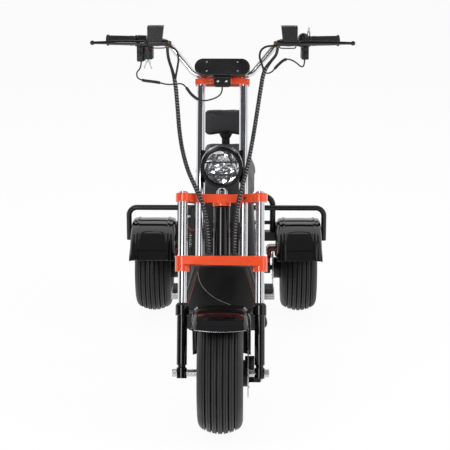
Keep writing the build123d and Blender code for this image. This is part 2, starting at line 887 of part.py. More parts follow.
# Front cowl: a leaning panel that widens towards the floor, flat against the spine
cowl_face = Plane(
    origin=(0, front_axle_y + cowl_top_back, cowl_top),
    x_dir=(1, 0, 0),
    z_dir=(0, -cos(cowl_slope), -sin(cowl_slope)),
)
cowl_length = (cowl_top - cowl_bottom) / cos(cowl_slope)
with BuildPart() as front_cowl:
    with BuildSketch(cowl_face) as cowl_outline:
        Polygon(
            (-cowl_top_half, 0),
            (cowl_top_half, 0),
            (cowl_bottom_half, -cowl_length),
            (-cowl_bottom_half, -cowl_length),
        )
        fillet(cowl_outline.vertices(), radius=cowl_corner)
    extrude(amount=-cowl_thickness)
save("front_cowl", front_cowl)

# Foot deck, notched around the spine, and a pedal on an arm at each side of it
cowl_foot_back = cowl_top_back + (cowl_top - cowl_bottom) * tan(cowl_slope)
deck_front = front_axle_y + cowl_foot_back + cowl_thickness * cos(cowl_slope) + fit_gap
notch_end = front_axle_y + deck_notch_back
with BuildPart() as foot_deck:
    with BuildSketch(Plane.XY.offset(deck_low)):
        with Locations((0, (deck_front + body_front) / 2)):
            Rectangle(2 * deck_half, body_front - deck_front)
        with Locations((0, (deck_front + notch_end) / 2)):
            Rectangle(spine_width + 2 * fit_gap, notch_end - deck_front, mode=Mode.SUBTRACT)
    extrude(amount=deck_thickness)
save("foot_deck", foot_deck)

pedal_middle = front_axle_y + pedal_front_back + pedal_length / 2
with BuildPart() as foot_pedals:
    with BuildSketch(Plane.XY.offset(pedal_base_low)):
        with Locations(((pedal_inner + pedal_outer) / 2, pedal_middle)):
            Rectangle(pedal_outer - pedal_inner, pedal_length)
    extrude(amount=pedal_base_top - pedal_base_low)
    with BuildSketch(Plane.XY.offset(deck_top)):
        with Locations((deck_half - pedal_arm_width / 2, pedal_middle)):
            Rectangle(pedal_arm_width, pedal_arm_length)
    extrude(amount=pedal_base_top - deck_top)
    with BuildSketch(Plane.XY.offset(pedal_base_low)):
        with Locations(((deck_half + pedal_inner) / 2, pedal_middle)):
            Rectangle(pedal_inner - deck_half, pedal_arm_length)
    extrude(amount=pedal_base_top - pedal_base_low)
    mirror(about=Plane.YZ)
save("foot_pedals", foot_pedals)

with BuildPart() as pedal_pads:
    with BuildSketch(Plane.XY.offset(pedal_base_top)):
        with Locations(((pedal_inner + pedal_outer) / 2, pedal_middle)):
            Rectangle(
                pedal_outer - pedal_inner - 2 * pedal_pad_margin,
                pedal_length - 2 * pedal_pad_margin,
            )
    extrude(amount=pedal_pad_height)
    mirror(about=Plane.YZ)
save("pedal_pads", pedal_pads)

# Body box: the closed block that holds the battery and carries the seat
with BuildPart() as body_box:
    with BuildSketch(Plane.XZ.offset(-body_front)):
        Polygon(
            (-body_bottom_half, body_bottom),
            (body_bottom_half, body_bottom),
            (body_bottom_half, body_waist),
            (body_waist_half, body_waist + body_ledge),
            (body_top_half, body_top),
            (-body_top_half, body_top),
            (-body_waist_half, body_waist + body_ledge),
            (-body_bottom_half, body_waist),
        )
    extrude(amount=body_front - body_rear)
    upright = body_box.edges().filter_by(GeomType.LINE).filter_by(Axis.Y, reverse=True)
    fillet(upright.filter_by(Axis.X, reverse=True), radius=body_corner)
save("body_box", body_box)

# Seat: sections from nose to tail, set on the body box
# columns: place along the scooter, half width at the skirt, half width on top, height of the top
seat_front = front_axle_y + seat_front_back
seat_sections = (
    (seat_front, 108, 62, 728),
    (seat_front + seat_nose, 132, 74, 745),
    (body_rear - seat_rear_ahead, 134, 80, 757),
)
seat_low = body_top + fit_gap
with BuildPart() as seat:
    for seat_y, skirt_half, seat_half, seat_top in seat_sections:
        with BuildSketch(Plane.XZ.offset(-seat_y)):
            Polygon(
                (-skirt_half, seat_low),
                (skirt_half, seat_low),
                (skirt_half - seat_tuck, seat_top - seat_shoulder),
                (seat_half, seat_top),
                (-seat_half, seat_top),
                (seat_tuck - skirt_half, seat_top - seat_shoulder),
            )
    loft(ruled=True)
save("seat", seat)

# Backrest: a padded oval on a flat post behind the body box
with BuildPart() as backrest_post:
    with BuildSketch(Plane.XZ.offset(-body_rear)):
        with Locations((0, (back_post_low + back_post_top) / 2)):
            Rectangle(back_post_width, back_post_top - back_post_low)
    extrude(amount=-back_post_thickness)
save("backrest_post", backrest_post)

with BuildPart() as backrest:
    with BuildSketch(Plane.XZ.offset(fit_gap - body_rear)):
        with Locations((0, back_pad_low + back_pad_height / 2)):
            RectangleRounded(back_pad_width, back_pad_height, back_pad_corner)
    extrude(amount=back_pad_thickness)
save("backrest", backrest)

# Rear frame: two members back from the body box to a cross beam over the axle
beam_start = rear_axle_y - beam_front
beam_end = rear_axle_y + beam_rear
with BuildPart() as rear_frame:
    with BuildSketch(Plane.XY.offset(beam_low)):
        with Locations((0, (beam_start + beam_end) / 2)):
            Rectangle(2 * beam_half, beam_end - beam_start)
        for sign in (-1, 1):
            with Locations((sign * rail_member_x, (body_rear + beam_end) / 2)):
                Rectangle(rail_member_width, beam_end - body_rear)
    extrude(amount=beam_high - beam_low)
save("rear_frame", rear_frame)

# Rear axle: square beam with the motor block in its middle and a spindle at each end
spindle_end = rear_wheel_x + hub_length / 2 + bearing_gap
with BuildPart() as rear_axle:
    with BuildSketch(Plane.YZ.offset(-axle_beam_half)):
        with Locations((rear_axle_y, rear_radius)):
            Rectangle(axle_beam, axle_beam)
    extrude(amount=2 * axle_beam_half)
    with BuildSketch(Plane.YZ.offset(-motor_half)):
        with Locations((rear_axle_y, rear_radius)):
            Circle(motor_radius)
    extrude(amount=2 * motor_half)
    with BuildSketch(Plane.YZ.offset(-spindle_end)):
        with Locations((rear_axle_y, rear_radius)):
            Circle(rear_spindle_radius)
    extrude(amount=2 * spindle_end)
    for nut_start in (-spindle_end - axle_nut_length, spindle_end):
        with BuildSketch(Plane.YZ.offset(nut_start)):
            with Locations((rear_axle_y, rear_radius)):
                RegularPolygon(axle_nut_radius + rear_spindle_radius - front_axle_radius, 6)
        extrude(amount=axle_nut_length)
save("rear_axle", rear_axle)

with BuildPart() as trailing_arms:
    arm_end = rear_axle_y - axle_beam / 2
    with BuildSketch(Plane.XY.offset(rear_radius - axle_beam / 2)):
        for sign in (-1, 1):
            with Locations((sign * arm_x, (body_rear + arm_end) / 2)):
                Rectangle(arm_width, arm_end - body_rear)
    extrude(amount=axle_beam)
save("trailing_arms", trailing_arms)

shock_low = rear_radius + axle_beam / 2
with BuildPart() as rear_shocks:
    shock_steps = (
        (shock_low, beam_low, shock_radius),
        (shock_low, shock_low + shock_cap_height, shock_cap_radius),
        (beam_low - shock_cap_height, beam_low, shock_cap_radius),
    )
    for low, high, radius in shock_steps:
        with BuildSketch(Plane.XY.offset(low)):
            with Locations((-shock_x, rear_axle_y), (shock_x, rear_axle_y)):
                Circle(radius)
        extrude(amount=high - low)
save("rear_shocks", rear_shocks)

with BuildPart() as rear_calipers:
    with BuildSketch(Plane.XY.offset(caliper_low)):
        with Locations((rear_disc_x, rear_axle_y)):
            Rectangle(2 * caliper_half, caliper_length)
    extrude(amount=caliper_high - caliper_low)
    foot_x = rear_disc_x - caliper_half + caliper_foot / 2
    with BuildSketch(Plane.XY.offset(shock_low)):
        with Locations((foot_x, rear_axle_y)):
            Rectangle(caliper_foot, axle_beam)
    extrude(amount=caliper_high - shock_low)
    with BuildSketch(Plane.YZ.offset(rear_disc_x - disc_thickness / 2 - disc_clearance)):
        with Locations((rear_axle_y, rear_radius)):
            Circle(disc_radius + disc_clearance)
    extrude(amount=disc_thickness + 2 * disc_clearance, mode=Mode.SUBTRACT)
    mirror(about=Plane.YZ)
save("rear_calipers", rear_calipers)

# Rear fenders, each on a plate that stands against the end of the cross beam
rear_fender_arc = 180 - rear_fender_front - rear_fender_tail
plate_thickness = rear_wheel_x - rear_fender_half + fender_wall - beam_half
plate_top = rear_radius + rear_fender_radius - fender_edge
for side, sign in sides:
    with BuildPart() as rear_fender:
        arch(
            sign * rear_wheel_x,
            rear_axle_y,
            rear_radius,
            rear_fender_half,
            rear_fender_radius,
            rear_fender_skirt,
            rear_fender_front,
            rear_fender_arc,
        )
        with BuildSketch(Plane.XY.offset(beam_low)):
            with Locations((sign * (beam_half + plate_thickness / 2), rear_axle_y)):
                Rectangle(plate_thickness, fender_plate_length)
        extrude(amount=plate_top - beam_low)
    save(f"rear_fender_{side}", rear_fender)

# Grab rail on the cross beam, and the fender rail across both fenders in front of it
grab_y = beam_end - grab_radius
grab_points = (
    (-grab_half, grab_y, beam_high),
    (-grab_half, grab_y, grab_top),
    (grab_half, grab_y, grab_top),
    (grab_half, grab_y, beam_high),
)
with BuildPart() as grab_rail:
    with BuildLine():
        FilletPolyline(*grab_points, radius=grab_bend)
    with BuildSketch(Plane.XY.offset(beam_high)):
        with Locations((-grab_half, grab_y)):
            Circle(grab_radius)
    sweep()
    with BuildSketch(Plane.YZ.offset(-grab_half)):
        with Locations((grab_y, grab_rung)):
            Circle(grab_rung_radius)
    extrude(amount=2 * grab_half)
save("grab_rail", grab_rail)

rack_y = grab_y - grab_radius - fit_gap - rack_radius
rack_half = rear_wheel_x + rear_fender_half + fit_gap + rack_radius
rack_points = (
    (-rack_half, rack_y, rack_end),
    (-rack_half, rack_y, rack_height),
    (rack_half, rack_y, rack_height),
    (rack_half, rack_y, rack_end),
)
with BuildPart() as fender_rail:
    with BuildLine():
        FilletPolyline(*rack_points, radius=rack_bend)
    with BuildSketch(Plane.XY.offset(rack_end)):
        with Locations((-rack_half, rack_y)):
            Circle(rack_radius)
    sweep()
save("fender_rail", fender_rail)

with BuildPart() as tail_lamp:
    with BuildSketch(Plane.XZ.offset(-beam_end)):
        with Locations((0, (beam_low + beam_high) / 2)):
            RectangleRounded(lamp_bar_width, lamp_bar_height, lamp_bar_height / 3)
    extrude(amount=-lamp_bar_depth)
save("tail_lamp", tail_lamp)

# Cords: routes chosen by hand, given along the fork as across, back and up
harness_left_route = (
    (187, -4.3, 1100.3),
    (186, 4, 1079),
    (166, 4, 1055),
    (146, 1, 1028),
    (137, -3, 1000),
    (132, -6, 968),
    (126, -9, 930),
    (118, -11, 875),
    (110, -11, 822),
    (99, -10, 756),
    (90, -9, 708),
    (80, -8, 662),
    (67, -6, 616),
    (55, 1, 570),
    (47, 18, 515),
    (44, 28, 460),
    (43, 31, 424),
    (43, 31, lower_clamp_top),
)
harness_right_route = (
    (-187, -4.3, 1100.3),
    (-187, 4, 1079),
    (-181, 3, 1052),
    (-171, 0, 1024),
    (-161, -3, 986),
    (-157, -6, 958),
    (-153, -9, 920),
    (-149, -11, 875),
    (-144, -11, 812),
    (-133, -10, 742),
    (-113, -8, 672),
    (-88, -7, 620),
    (-67, -3, 572),
    (-52, 13, 520),
    (-46, 26, 466),
    (-43, 31, 426),
    (-43, 31, lower_clamp_top),
)
meter_lead_route = (
    (0, -3, meter_bracket_low),
    (0, -3, 946),
    (-12, -11, 928),
    (-40, -20, 914),
    (-74, -22, 910),
    (-104, -20, 932),
    (-122, -13, 960),
    (-137.2, -4.5, 974.5),
    (-151.7, -4.1, 973),
)
switch_lead_left_route = (
    (281, 62.8, 1073.7),
    (281, 70.4, 1053.8),
    (270, 66, 1046),
    (248, 53, 1064),
    (217, 38, 1072),
    (188, 20, 1044),
    (163, 6.1, 1010),
    (148.7, 1.4, 1011.5),
)
switch_lead_right_route = (
    (-281, 65.6, 1066.2),
    (-281, 73.3, 1046.3),
    (-297, 62, 1026),
    (-291, 34, 1000),
    (-270, 20, 989),
    (-243, 10, 984),
    (-214, 0, 978),
    (-186, -6, 969),
    (-166.3, -4.9, 971),
)
# columns: node, route, diameter
cords = (
    ("harness_left", harness_left_route, harness_diameter),
    ("harness_right", harness_right_route, harness_diameter),
    ("meter_lead", meter_lead_route, lead_diameter),
    ("switch_lead_left", switch_lead_left_route, lead_diameter),
    ("switch_lead_right", switch_lead_right_route, lead_diameter),
)


def corner_radii(points):
    """The largest arc that fits each corner's two runs."""
    radii = []
    for before, corner, after in zip(points, points[1:], points[2:]):
        run_in = corner - before
        run_out = after - corner
        turn = radians(run_in.get_angle(run_out))
        radii.append(cord_share * min(run_in.length, run_out.length) / tan(turn / 2))
    return radii


for cord_name, route, diameter in cords:
    stops = [fork_point(*stop) for stop in route]
    radii = corner_radii(stops)
    with BuildPart() as cord:
        with BuildLine() as cord_path:
            FilletPolyline(*stops, radius=radii)
        with BuildSketch(Plane(origin=stops[0], z_dir=stops[1] - stops[0])):
            Circle(diameter / 2)
        sweep()
    save(cord_name, cord)
    cord_length = cord_path.wire().length
    full_volume = pi * (diameter / 2) ** 2 * cord_length
    print(cord_name, "length", round(cord_length, 1), "radii", [round(r) for r in radii])
    print(cord_name, "volume share", round(cord.part.volume / full_volume, 4))
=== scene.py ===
import json
from math import atan2, cos, hypot, pi, radians, sin

import bmesh
import bpy
from mathutils import Matrix, Vector, noise


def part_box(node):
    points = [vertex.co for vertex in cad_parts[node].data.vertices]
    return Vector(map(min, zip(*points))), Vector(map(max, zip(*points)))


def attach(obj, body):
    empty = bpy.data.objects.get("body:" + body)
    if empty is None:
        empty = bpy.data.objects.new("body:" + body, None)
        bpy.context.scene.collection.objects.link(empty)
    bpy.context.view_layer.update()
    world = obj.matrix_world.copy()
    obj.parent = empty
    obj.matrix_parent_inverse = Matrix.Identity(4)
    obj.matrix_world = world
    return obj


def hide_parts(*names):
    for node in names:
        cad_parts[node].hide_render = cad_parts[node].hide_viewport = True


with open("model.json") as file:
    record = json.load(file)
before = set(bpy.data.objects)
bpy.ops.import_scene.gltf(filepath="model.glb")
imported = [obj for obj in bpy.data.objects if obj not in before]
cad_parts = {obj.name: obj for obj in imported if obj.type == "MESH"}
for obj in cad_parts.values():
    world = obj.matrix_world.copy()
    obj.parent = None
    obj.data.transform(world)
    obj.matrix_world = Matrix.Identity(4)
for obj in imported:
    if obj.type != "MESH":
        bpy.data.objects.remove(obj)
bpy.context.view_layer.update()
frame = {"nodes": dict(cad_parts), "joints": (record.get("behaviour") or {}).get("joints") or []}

# Tyres: wide moulded rubber with straight ribs around the tread, seated on the rims.
# The grooves are moulded in, and the sidewalls bulge past the tread's shoulders.
joints = {joint["name"]: joint for joint in frame["joints"]}
front_axle = Vector(joints["front_wheel_spin"]["pos_m"])
rear_axles = {
    "left": Vector(joints["rear_wheel_left_spin"]["pos_m"]),
    "right": Vector(joints["rear_wheel_right_spin"]["pos_m"]),
}
across = Vector((1, 0, 0))
sides = (("left", 1), ("right", -1))
wheels = (
    ("front", "front_wheel", front_axle),
    ("rear_left", "rear_wheel_left", rear_axles["left"]),
    ("rear_right", "rear_wheel_right", rear_axles["right"]),
)
wheel_nodes = {
    "front": ("front_tyre", "front_rim", "front_disc"),
    "rear_left": ("rear_tyre_left", "rear_rim_left", "rear_disc_left"),
    "rear_right": ("rear_tyre_right", "rear_rim_right", "rear_disc_right"),
}


def shader_group(name, inputs, outputs):
    """An empty shader node group with named sockets, and its two end nodes."""
    tree = bpy.data.node_groups.new(name, "ShaderNodeTree")
    for label, kind in inputs:
        tree.interface.new_socket(name=label, in_out="INPUT", socket_type=kind)
    for label, kind in outputs:
        tree.interface.new_socket(name=label, in_out="OUTPUT", socket_type=kind)
    return tree, tree.nodes.new("NodeGroupInput"), tree.nodes.new("NodeGroupOutput")


colour_socket = "NodeSocketColor"
value_socket = "NodeSocketFloat"

# slow patches of lighter and darker colour, and of duller and shinier surface
mottle, mottle_in, mottle_out = shader_group(
    "uneven_finish",
    (
        ("Colour", colour_socket),
        ("Amount", value_socket),
        ("Scale", value_socket),
        ("Roughness", value_socket),
        ("Spread", value_socket),
    ),
    (("Colour", colour_socket), ("Roughness", value_socket)),
)
mottle_place = mottle.nodes.new("ShaderNodeTexCoord")
mottle_noise = mottle.nodes.new("ShaderNodeTexNoise")
mottle_noise.inputs["Detail"].default_value = 5
mottle.links.new(mottle_place.outputs["Object"], mottle_noise.inputs["Vector"])
mottle.links.new(mottle_in.outputs["Scale"], mottle_noise.inputs["Scale"])
for target, middle, swing in (("Colour", None, "Amount"), ("Roughness", "Roughness", "Spread")):
    spread = mottle.nodes.new("ShaderNodeMapRange")
    spread.inputs["From Min"].default_value = 0.3
    spread.inputs["From Max"].default_value = 0.7
    mottle.links.new(mottle_noise.outputs["Fac"], spread.inputs["Value"])
    for end, operation in (("To Min", "SUBTRACT"), ("To Max", "ADD")):
        limit = mottle.nodes.new("ShaderNodeMath")
        limit.operation = operation
        limit.inputs[0].default_value = 1.0
        if middle:
            mottle.links.new(mottle_in.outputs[middle], limit.inputs[0])
        mottle.links.new(mottle_in.outputs[swing], limit.inputs[1])
        mottle.links.new(limit.outputs[0], spread.inputs[end])
    if middle:
        mottle.links.new(spread.outputs[0], mottle_out.inputs[target])
        continue
    tint = mottle.nodes.new("ShaderNodeMix")
    tint.data_type = "RGBA"
    tint.blend_type = "MULTIPLY"
    tint.inputs[0].default_value = 1.0
    mottle.links.new(mottle_in.outputs["Colour"], tint.inputs[6])
    mottle.links.new(spread.outputs[0], tint.inputs[7])
    mottle.links.new(tint.outputs[2], mottle_out.inputs[target])

# fine grain, from sandy to pebbled
grain, grain_in, grain_out = shader_group(
    "fine_grain",
    (("Scale", value_socket), ("Pebbles", value_socket)),
    (("Height", value_socket),),
)
grain_place = grain.nodes.new("ShaderNodeTexCoord")
grain_sand = grain.nodes.new("ShaderNodeTexNoise")
grain_sand.inputs["Detail"].default_value = 3
grain_pebble = grain.nodes.new("ShaderNodeTexVoronoi")
grain_mix = grain.nodes.new("ShaderNodeMix")
grain_mix.data_type = "FLOAT"
for texture in (grain_sand, grain_pebble):
    grain.links.new(grain_place.outputs["Object"], texture.inputs["Vector"])
    grain.links.new(grain_in.outputs["Scale"], texture.inputs["Scale"])
grain.links.new(grain_in.outputs["Pebbles"], grain_mix.inputs[0])
grain.links.new(grain_sand.outputs["Fac"], grain_mix.inputs[2])
grain.links.new(grain_pebble.outputs["Distance"], grain_mix.inputs[3])
grain.links.new(grain_mix.outputs[0], grain_out.inputs["Height"])


def finish(
    name, colour, roughness, metallic=0.0, coat=0.0, amount=0.1, spread=0.05,
    scale=9.0, grain_scale=700.0, grain_depth=0.00003, pebbles=0.0,
):
    """A surface finish with uneven colour and gloss and a fine grain."""
    material = bpy.data.materials.new(name)
    material.use_nodes = True
    tree = material.node_tree
    shader = tree.nodes["Principled BSDF"]
    shader.inputs["Metallic"].default_value = metallic
    shader.inputs["Coat Weight"].default_value = coat
    shader.inputs["Coat Roughness"].default_value = 0.03
    tone = tree.nodes.new("ShaderNodeGroup")
    tone.node_tree = mottle
    tone.inputs["Colour"].default_value = (*colour, 1)
    tone.inputs["Amount"].default_value = amount
    tone.inputs["Scale"].default_value = scale
    tone.inputs["Roughness"].default_value = roughness
    tone.inputs["Spread"].default_value = spread
    tree.links.new(tone.outputs["Colour"], shader.inputs["Base Color"])
    tree.links.new(tone.outputs["Roughness"], shader.inputs["Roughness"])
    skin = tree.nodes.new("ShaderNodeGroup")
    skin.node_tree = grain
    skin.inputs["Scale"].default_value = grain_scale
    skin.inputs["Pebbles"].default_value = pebbles
    bump = tree.nodes.new("ShaderNodeBump")
    bump.inputs["Strength"].default_value = 1.0
    bump.inputs["Distance"].default_value = grain_depth
    tree.links.new(skin.outputs["Height"], bump.inputs["Height"])
    tree.links.new(bump.outputs["Normal"], shader.inputs["Normal"])
    return material


def new_piece(name, body, shape, material):
    """Make a shape a piece of the scooter that rides on a body."""
    mesh = bpy.data.meshes.new(name)
    shape.to_mesh(mesh)
    shape.free()
    mesh.materials.append(material)
    mesh.shade_smooth()
    mesh.set_sharp_from_angle(angle=radians(38))
    piece = bpy.data.objects.new(name, mesh)
    bpy.context.scene.collection.objects.link(piece)
    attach(piece, body)
    return piece


def turned(profile, origin, along, steps=64, closed=False):
    """A lathe shape about an axis; a profile row is a place along it and a radius."""
    shape = bmesh.new()
    axis = Vector(along).normalized()
    outward = axis.orthogonal().normalized()
    row = [shape.verts.new(Vector(origin) + axis * place + outward * radius) for place, radius in profile]
    pairs = list(zip(row, row[1:]))
    if closed:
        pairs.append((row[-1], row[0]))
    edges = [shape.edges.new(pair) for pair in pairs]
    bmesh.ops.spin(
        shape, geom=row + edges, cent=origin, axis=axis, angle=2 * pi, steps=steps, use_merge=True
    )
    bmesh.ops.remove_doubles(shape, verts=shape.verts, dist=1e-6)
    bmesh.ops.recalc_face_normals(shape, faces=shape.faces)
    return shape


tyre_half = 0.075
rim_half = 0.056
tyre_wall = 0.090
rib_count = 7
rib_pitch = 0.0187
groove_width = 0.0058
slit_width = 0.0022
slit_depth = 0.0026
groove_depth = 0.0056
crown_curve = 0.104
flank_place = 0.047
flank_low = 0.050
flank_rise = 0.038
tyre_rubber = finish(
    "tyre_rubber", (0.017, 0.017, 0.018), 0.52, amount=0.35, spread=0.12, scale=14,
    grain_scale=420, grain_depth=0.00012,
)


def tread_radius(radius, place):
    """The tread's own crown: how far out it is at a place across."""
    return radius - place * place / (2 * crown_curve)


def tyre_profile(radius):
    """Half-round flanks and a ribbed tread, from one bead over to the other."""
    right = [(rim_half, radius - tyre_wall)]
    for degrees_up in range(-70, 56, 14):
        swing = radians(degrees_up)
        right.append((
            flank_place + (tyre_half - flank_place) * cos(swing),
            radius - flank_low + flank_rise * sin(swing),
        ))
    tread = []
    for rib in range(rib_count):
        middle = (rib - (rib_count - 1) / 2) * rib_pitch
        rib_half = (rib_pitch - groove_width) / 2
        if rib:
            tread.append(
                (middle - rib_half - groove_width * 0.3, tread_radius(radius, middle) - groove_depth)
            )
        tread.append((middle - rib_half, tread_radius(radius, middle - rib_half) - 0.0006))
        tread.append((middle - rib_half + 0.0008, tread_radius(radius, middle - rib_half)))
        tread.append((middle - slit_width / 2, tread_radius(radius, middle)))
        tread.append((middle - slit_width / 4, tread_radius(radius, middle) - slit_depth))
        tread.append((middle + slit_width / 4, tread_radius(radius, middle) - slit_depth))
        tread.append((middle + slit_width / 2, tread_radius(radius, middle)))
        tread.append((middle + rib_half - 0.0008, tread_radius(radius, middle + rib_half)))
        tread.append((middle + rib_half, tread_radius(radius, middle + rib_half) - 0.0006))
        if rib < rib_count - 1:
            tread.append(
                (middle + rib_half + groove_width * 0.3, tread_radius(radius, middle) - groove_depth)
            )
    left = [(-place, height) for place, height in right]
    return left + tread + right[::-1]


for wheel, body, axle in wheels:
    tyre = new_piece(
        f"{wheel}_ribbed_tyre", body, turned(tyre_profile(axle.z), axle, across, 128, closed=True),
        tyre_rubber,
    )
    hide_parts(wheel_nodes[wheel][0])

# Rims: cast wheels painted satin black, with windows through the web.
# Five cap bolts stand on each face of a hub.
satin_black = finish(
    "satin_black_paint", (0.010, 0.010, 0.011), 0.36, amount=0.15, spread=0.06,
    grain_scale=520, grain_depth=0.00006,
)
bright_zinc = finish(
    "bright_zinc", (0.60, 0.60, 0.61), 0.26, metallic=1.0, amount=0.12, spread=0.08, scale=60,
    grain_scale=900, grain_depth=0.00002,
)
hub_half = 0.050
hub_bolt_circle = 0.0225
hub_bolt_radius = 0.0042
hub_bolt_height = 0.0045


def dress(material, *nodes):
    """Give a CAD node that is shown as it is its finish."""
    for node in nodes:
        for slot in frame["nodes"][node].material_slots:
            slot.material = material


def pointing(place, along):
    """A frame at a place whose third axis points along a direction."""
    return Matrix.Translation(place) @ Vector(along).to_track_quat("Z", "Y").to_matrix().to_4x4()


def add_block(shape, place, size, within=Matrix.Identity(4)):
    """A plain block of a size, about a place within a frame."""
    grown = within @ Matrix.Translation(place) @ Matrix.Diagonal((*size, 1))
    return bmesh.ops.create_cube(shape, size=1.0, matrix=grown)["verts"]


def add_peg(shape, place, along, radius, top_radius, length, corners=24):
    """A round peg about a place, from one radius at its foot to another at its top."""
    return bmesh.ops.create_cone(
        shape, cap_ends=True, segments=corners, radius1=radius, radius2=top_radius, depth=length,
        matrix=pointing(place, along),
    )["verts"]


def add_bolt(shape, place, along, radius, height, corners=6):
    """A bolt head with a chamfered top and a sunk socket, standing on a face."""
    along = Vector(along).normalized()
    middle = Vector(place) + along * height / 2
    made = add_peg(shape, middle, along, radius, radius * 0.92, height, corners)
    top = max({face for vert in made for face in vert.link_faces},
              key=lambda face: face.calc_center_median().dot(along))
    bmesh.ops.inset_individual(shape, faces=[top], thickness=radius * 0.42)
    bmesh.ops.translate(shape, verts=top.verts, vec=-along * height * 0.5)


for wheel, body, axle in wheels:
    dress(satin_black, wheel_nodes[wheel][1])
    bolts = bmesh.new()
    for face in (-1, 1):
        for step in range(5):
            turn = 2 * pi * step / 5
            place = axle + Vector(
                (face * hub_half, hub_bolt_circle * cos(turn), hub_bolt_circle * sin(turn))
            )
            add_bolt(bolts, place, across * face, hub_bolt_radius, hub_bolt_height, 12)
    new_piece(f"{wheel}_hub_bolts", body, bolts, bright_zinc)

# Brake discs: ground steel rings with drilled rows, riveted to a hat on the hub.
# The front one is on the left of the wheel, the rear ones on the inner side.
disc_outer = 0.080
disc_inner = 0.048
disc_thickness = 0.004
hole_radius = 0.0033
hole_rows = ((0.0735, 24, 0.0), (0.065, 24, 0.5), (0.0565, 24, 0.0))
rivet_circle = 0.0460
rivet_count = 6
disc_steel = finish(
    "ground_disc_steel", (0.52, 0.52, 0.53), 0.30, metallic=1.0, amount=0.15, spread=0.10, scale=35,
    grain_scale=1400, grain_depth=0.00003,
)


def drilled_disc(middle, face):
    """A flat ring with rows of holes and its hat, square to the axle."""
    shape = bmesh.new()
    bmesh.ops.create_circle(shape, segments=96, radius=disc_outer)
    bmesh.ops.create_circle(shape, segments=64, radius=disc_inner)
    for row, count, phase in hole_rows:
        for step in range(count):
            turn = 2 * pi * (step + phase) / count
            spot = Matrix.Translation((row * cos(turn), row * sin(turn), 0))
            bmesh.ops.create_circle(shape, segments=10, radius=hole_radius, matrix=spot)
    bmesh.ops.triangle_fill(shape, use_beauty=True, use_dissolve=False, edges=shape.edges[:])
    grown = bmesh.ops.extrude_face_region(shape, geom=shape.faces[:])
    lifted = [item for item in grown["geom"] if isinstance(item, bmesh.types.BMVert)]
    bmesh.ops.translate(shape, verts=lifted, vec=(0, 0, disc_thickness))
    bmesh.ops.recalc_face_normals(shape, faces=shape.faces)
    bmesh.ops.translate(shape, verts=shape.verts, vec=(0, 0, -disc_thickness / 2))
    bmesh.ops.transform(shape, matrix=pointing(middle, across * face), verts=shape.verts)
    return shape


for wheel, body, axle in wheels:
    low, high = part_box(wheel_nodes[wheel][2])
    face = 1 if (low.x + high.x) / 2 > axle.x else -1
    disc_x = (high.x if face > 0 else low.x) - face * disc_thickness / 2
    disc_middle = Vector((disc_x, axle.y, axle.z))
    disc = new_piece(f"{wheel}_drilled_disc", body, drilled_disc(disc_middle, face), disc_steel)
    reach = abs(disc_x - axle.x) - hub_half
    hat_profile = (
        (-reach, 0.0105), (-reach, 0.043), (-reach + 0.003, 0.044), (-disc_thickness / 2, 0.044),
        (-disc_thickness / 2, 0.0508), (disc_thickness / 2, 0.0508), (disc_thickness / 2, 0.040),
        (0.0, 0.036), (0.0, 0.0105),
    )
    hat = turned(hat_profile, disc_middle, across * face, 64, closed=True)
    for step in range(rivet_count):
        turn = 2 * pi * step / rivet_count
        spot = disc_middle + Vector((0, rivet_circle * cos(turn), rivet_circle * sin(turn)))
        add_bolt(hat, spot + across * face * disc_thickness / 2, across * face, 0.004, 0.002, 12)
    new_piece(f"{wheel}_disc_hat", body, hat, satin_black)
    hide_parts(wheel_nodes[wheel][2])

# Front axle: a plain steel bar with spacers and zinc nuts outside the legs.
dress(bright_zinc, "front_axle")
steering = "steering"
axle_low, axle_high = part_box("front_axle")
washer_radius = 0.0165
washers = bmesh.new()
for end in (axle_low.x, axle_high.x):
    face = 1 if end > 0 else -1
    place = Vector((end - face * 0.0155, front_axle.y, front_axle.z))
    add_peg(washers, place, across, washer_radius, washer_radius, 0.002)
new_piece("front_axle_washers", steering, washers, bright_zinc)

# Fork sliders: black enamelled legs with a neck above the axle and a thick seal collar.
# A rubber wiper sits in each collar's mouth.
fork_up = Vector(joints["steering_turn"]["axis"]).normalized()
fork_back = fork_up.cross(across)
fork_place = Matrix.Translation(front_axle) @ Matrix((across, fork_back, fork_up)).transposed().to_4x4()
leg_x = 0.129
collar_top = 0.225
tube_radius = 0.015
gloss_black = finish(
    "gloss_black_paint", (0.0045, 0.0045, 0.005), 0.09, coat=0.15, amount=0.12, spread=0.03,
    grain_scale=160, grain_depth=0.00001,
)
black_rubber = finish(
    "black_rubber", (0.017, 0.017, 0.018), 0.62, amount=0.18, spread=0.08, grain_scale=900,
    grain_depth=0.00005,
)


def on_fork(x, back, up):
    """A place given across, back and up along the raked fork."""
    return fork_place @ Vector((x, back, up))


def cad_shape(*nodes):
    """A clean copy of CAD nodes: doubles merged and flat faces joined."""
    shape = bmesh.new()
    for node in nodes:
        shape.from_mesh(frame["nodes"][node].data)
    bmesh.ops.remove_doubles(shape, verts=shape.verts, dist=2e-6)
    bmesh.ops.dissolve_limit(shape, angle_limit=radians(0.8), verts=shape.verts, edges=shape.edges)
    return shape


def soften(piece, width, segments=3, angle=32):
    """Round the hard edges and keep the flat faces flat."""
    rounding = piece.modifiers.new("rounded_edges", "BEVEL")
    rounding.width = width
    rounding.segments = segments
    rounding.limit_method = "ANGLE"
    rounding.angle_limit = radians(angle)
    rounding.use_clamp_overlap = False
    shading = piece.modifiers.new("even_shading", "WEIGHTED_NORMAL")
    shading.keep_sharp = True


def rounded_copy(name, body, material, slot, width, *nodes, segments=3, angle=32):
    """A copy of CAD nodes with rounded edges that stands for them."""
    piece = new_piece(name, body, cad_shape(*nodes), material)
    piece.data.shade_smooth()
    for edge in piece.data.edges:
        edge.use_edge_sharp = False
    soften(piece, width, segments, angle)
    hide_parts(*nodes)
    return piece


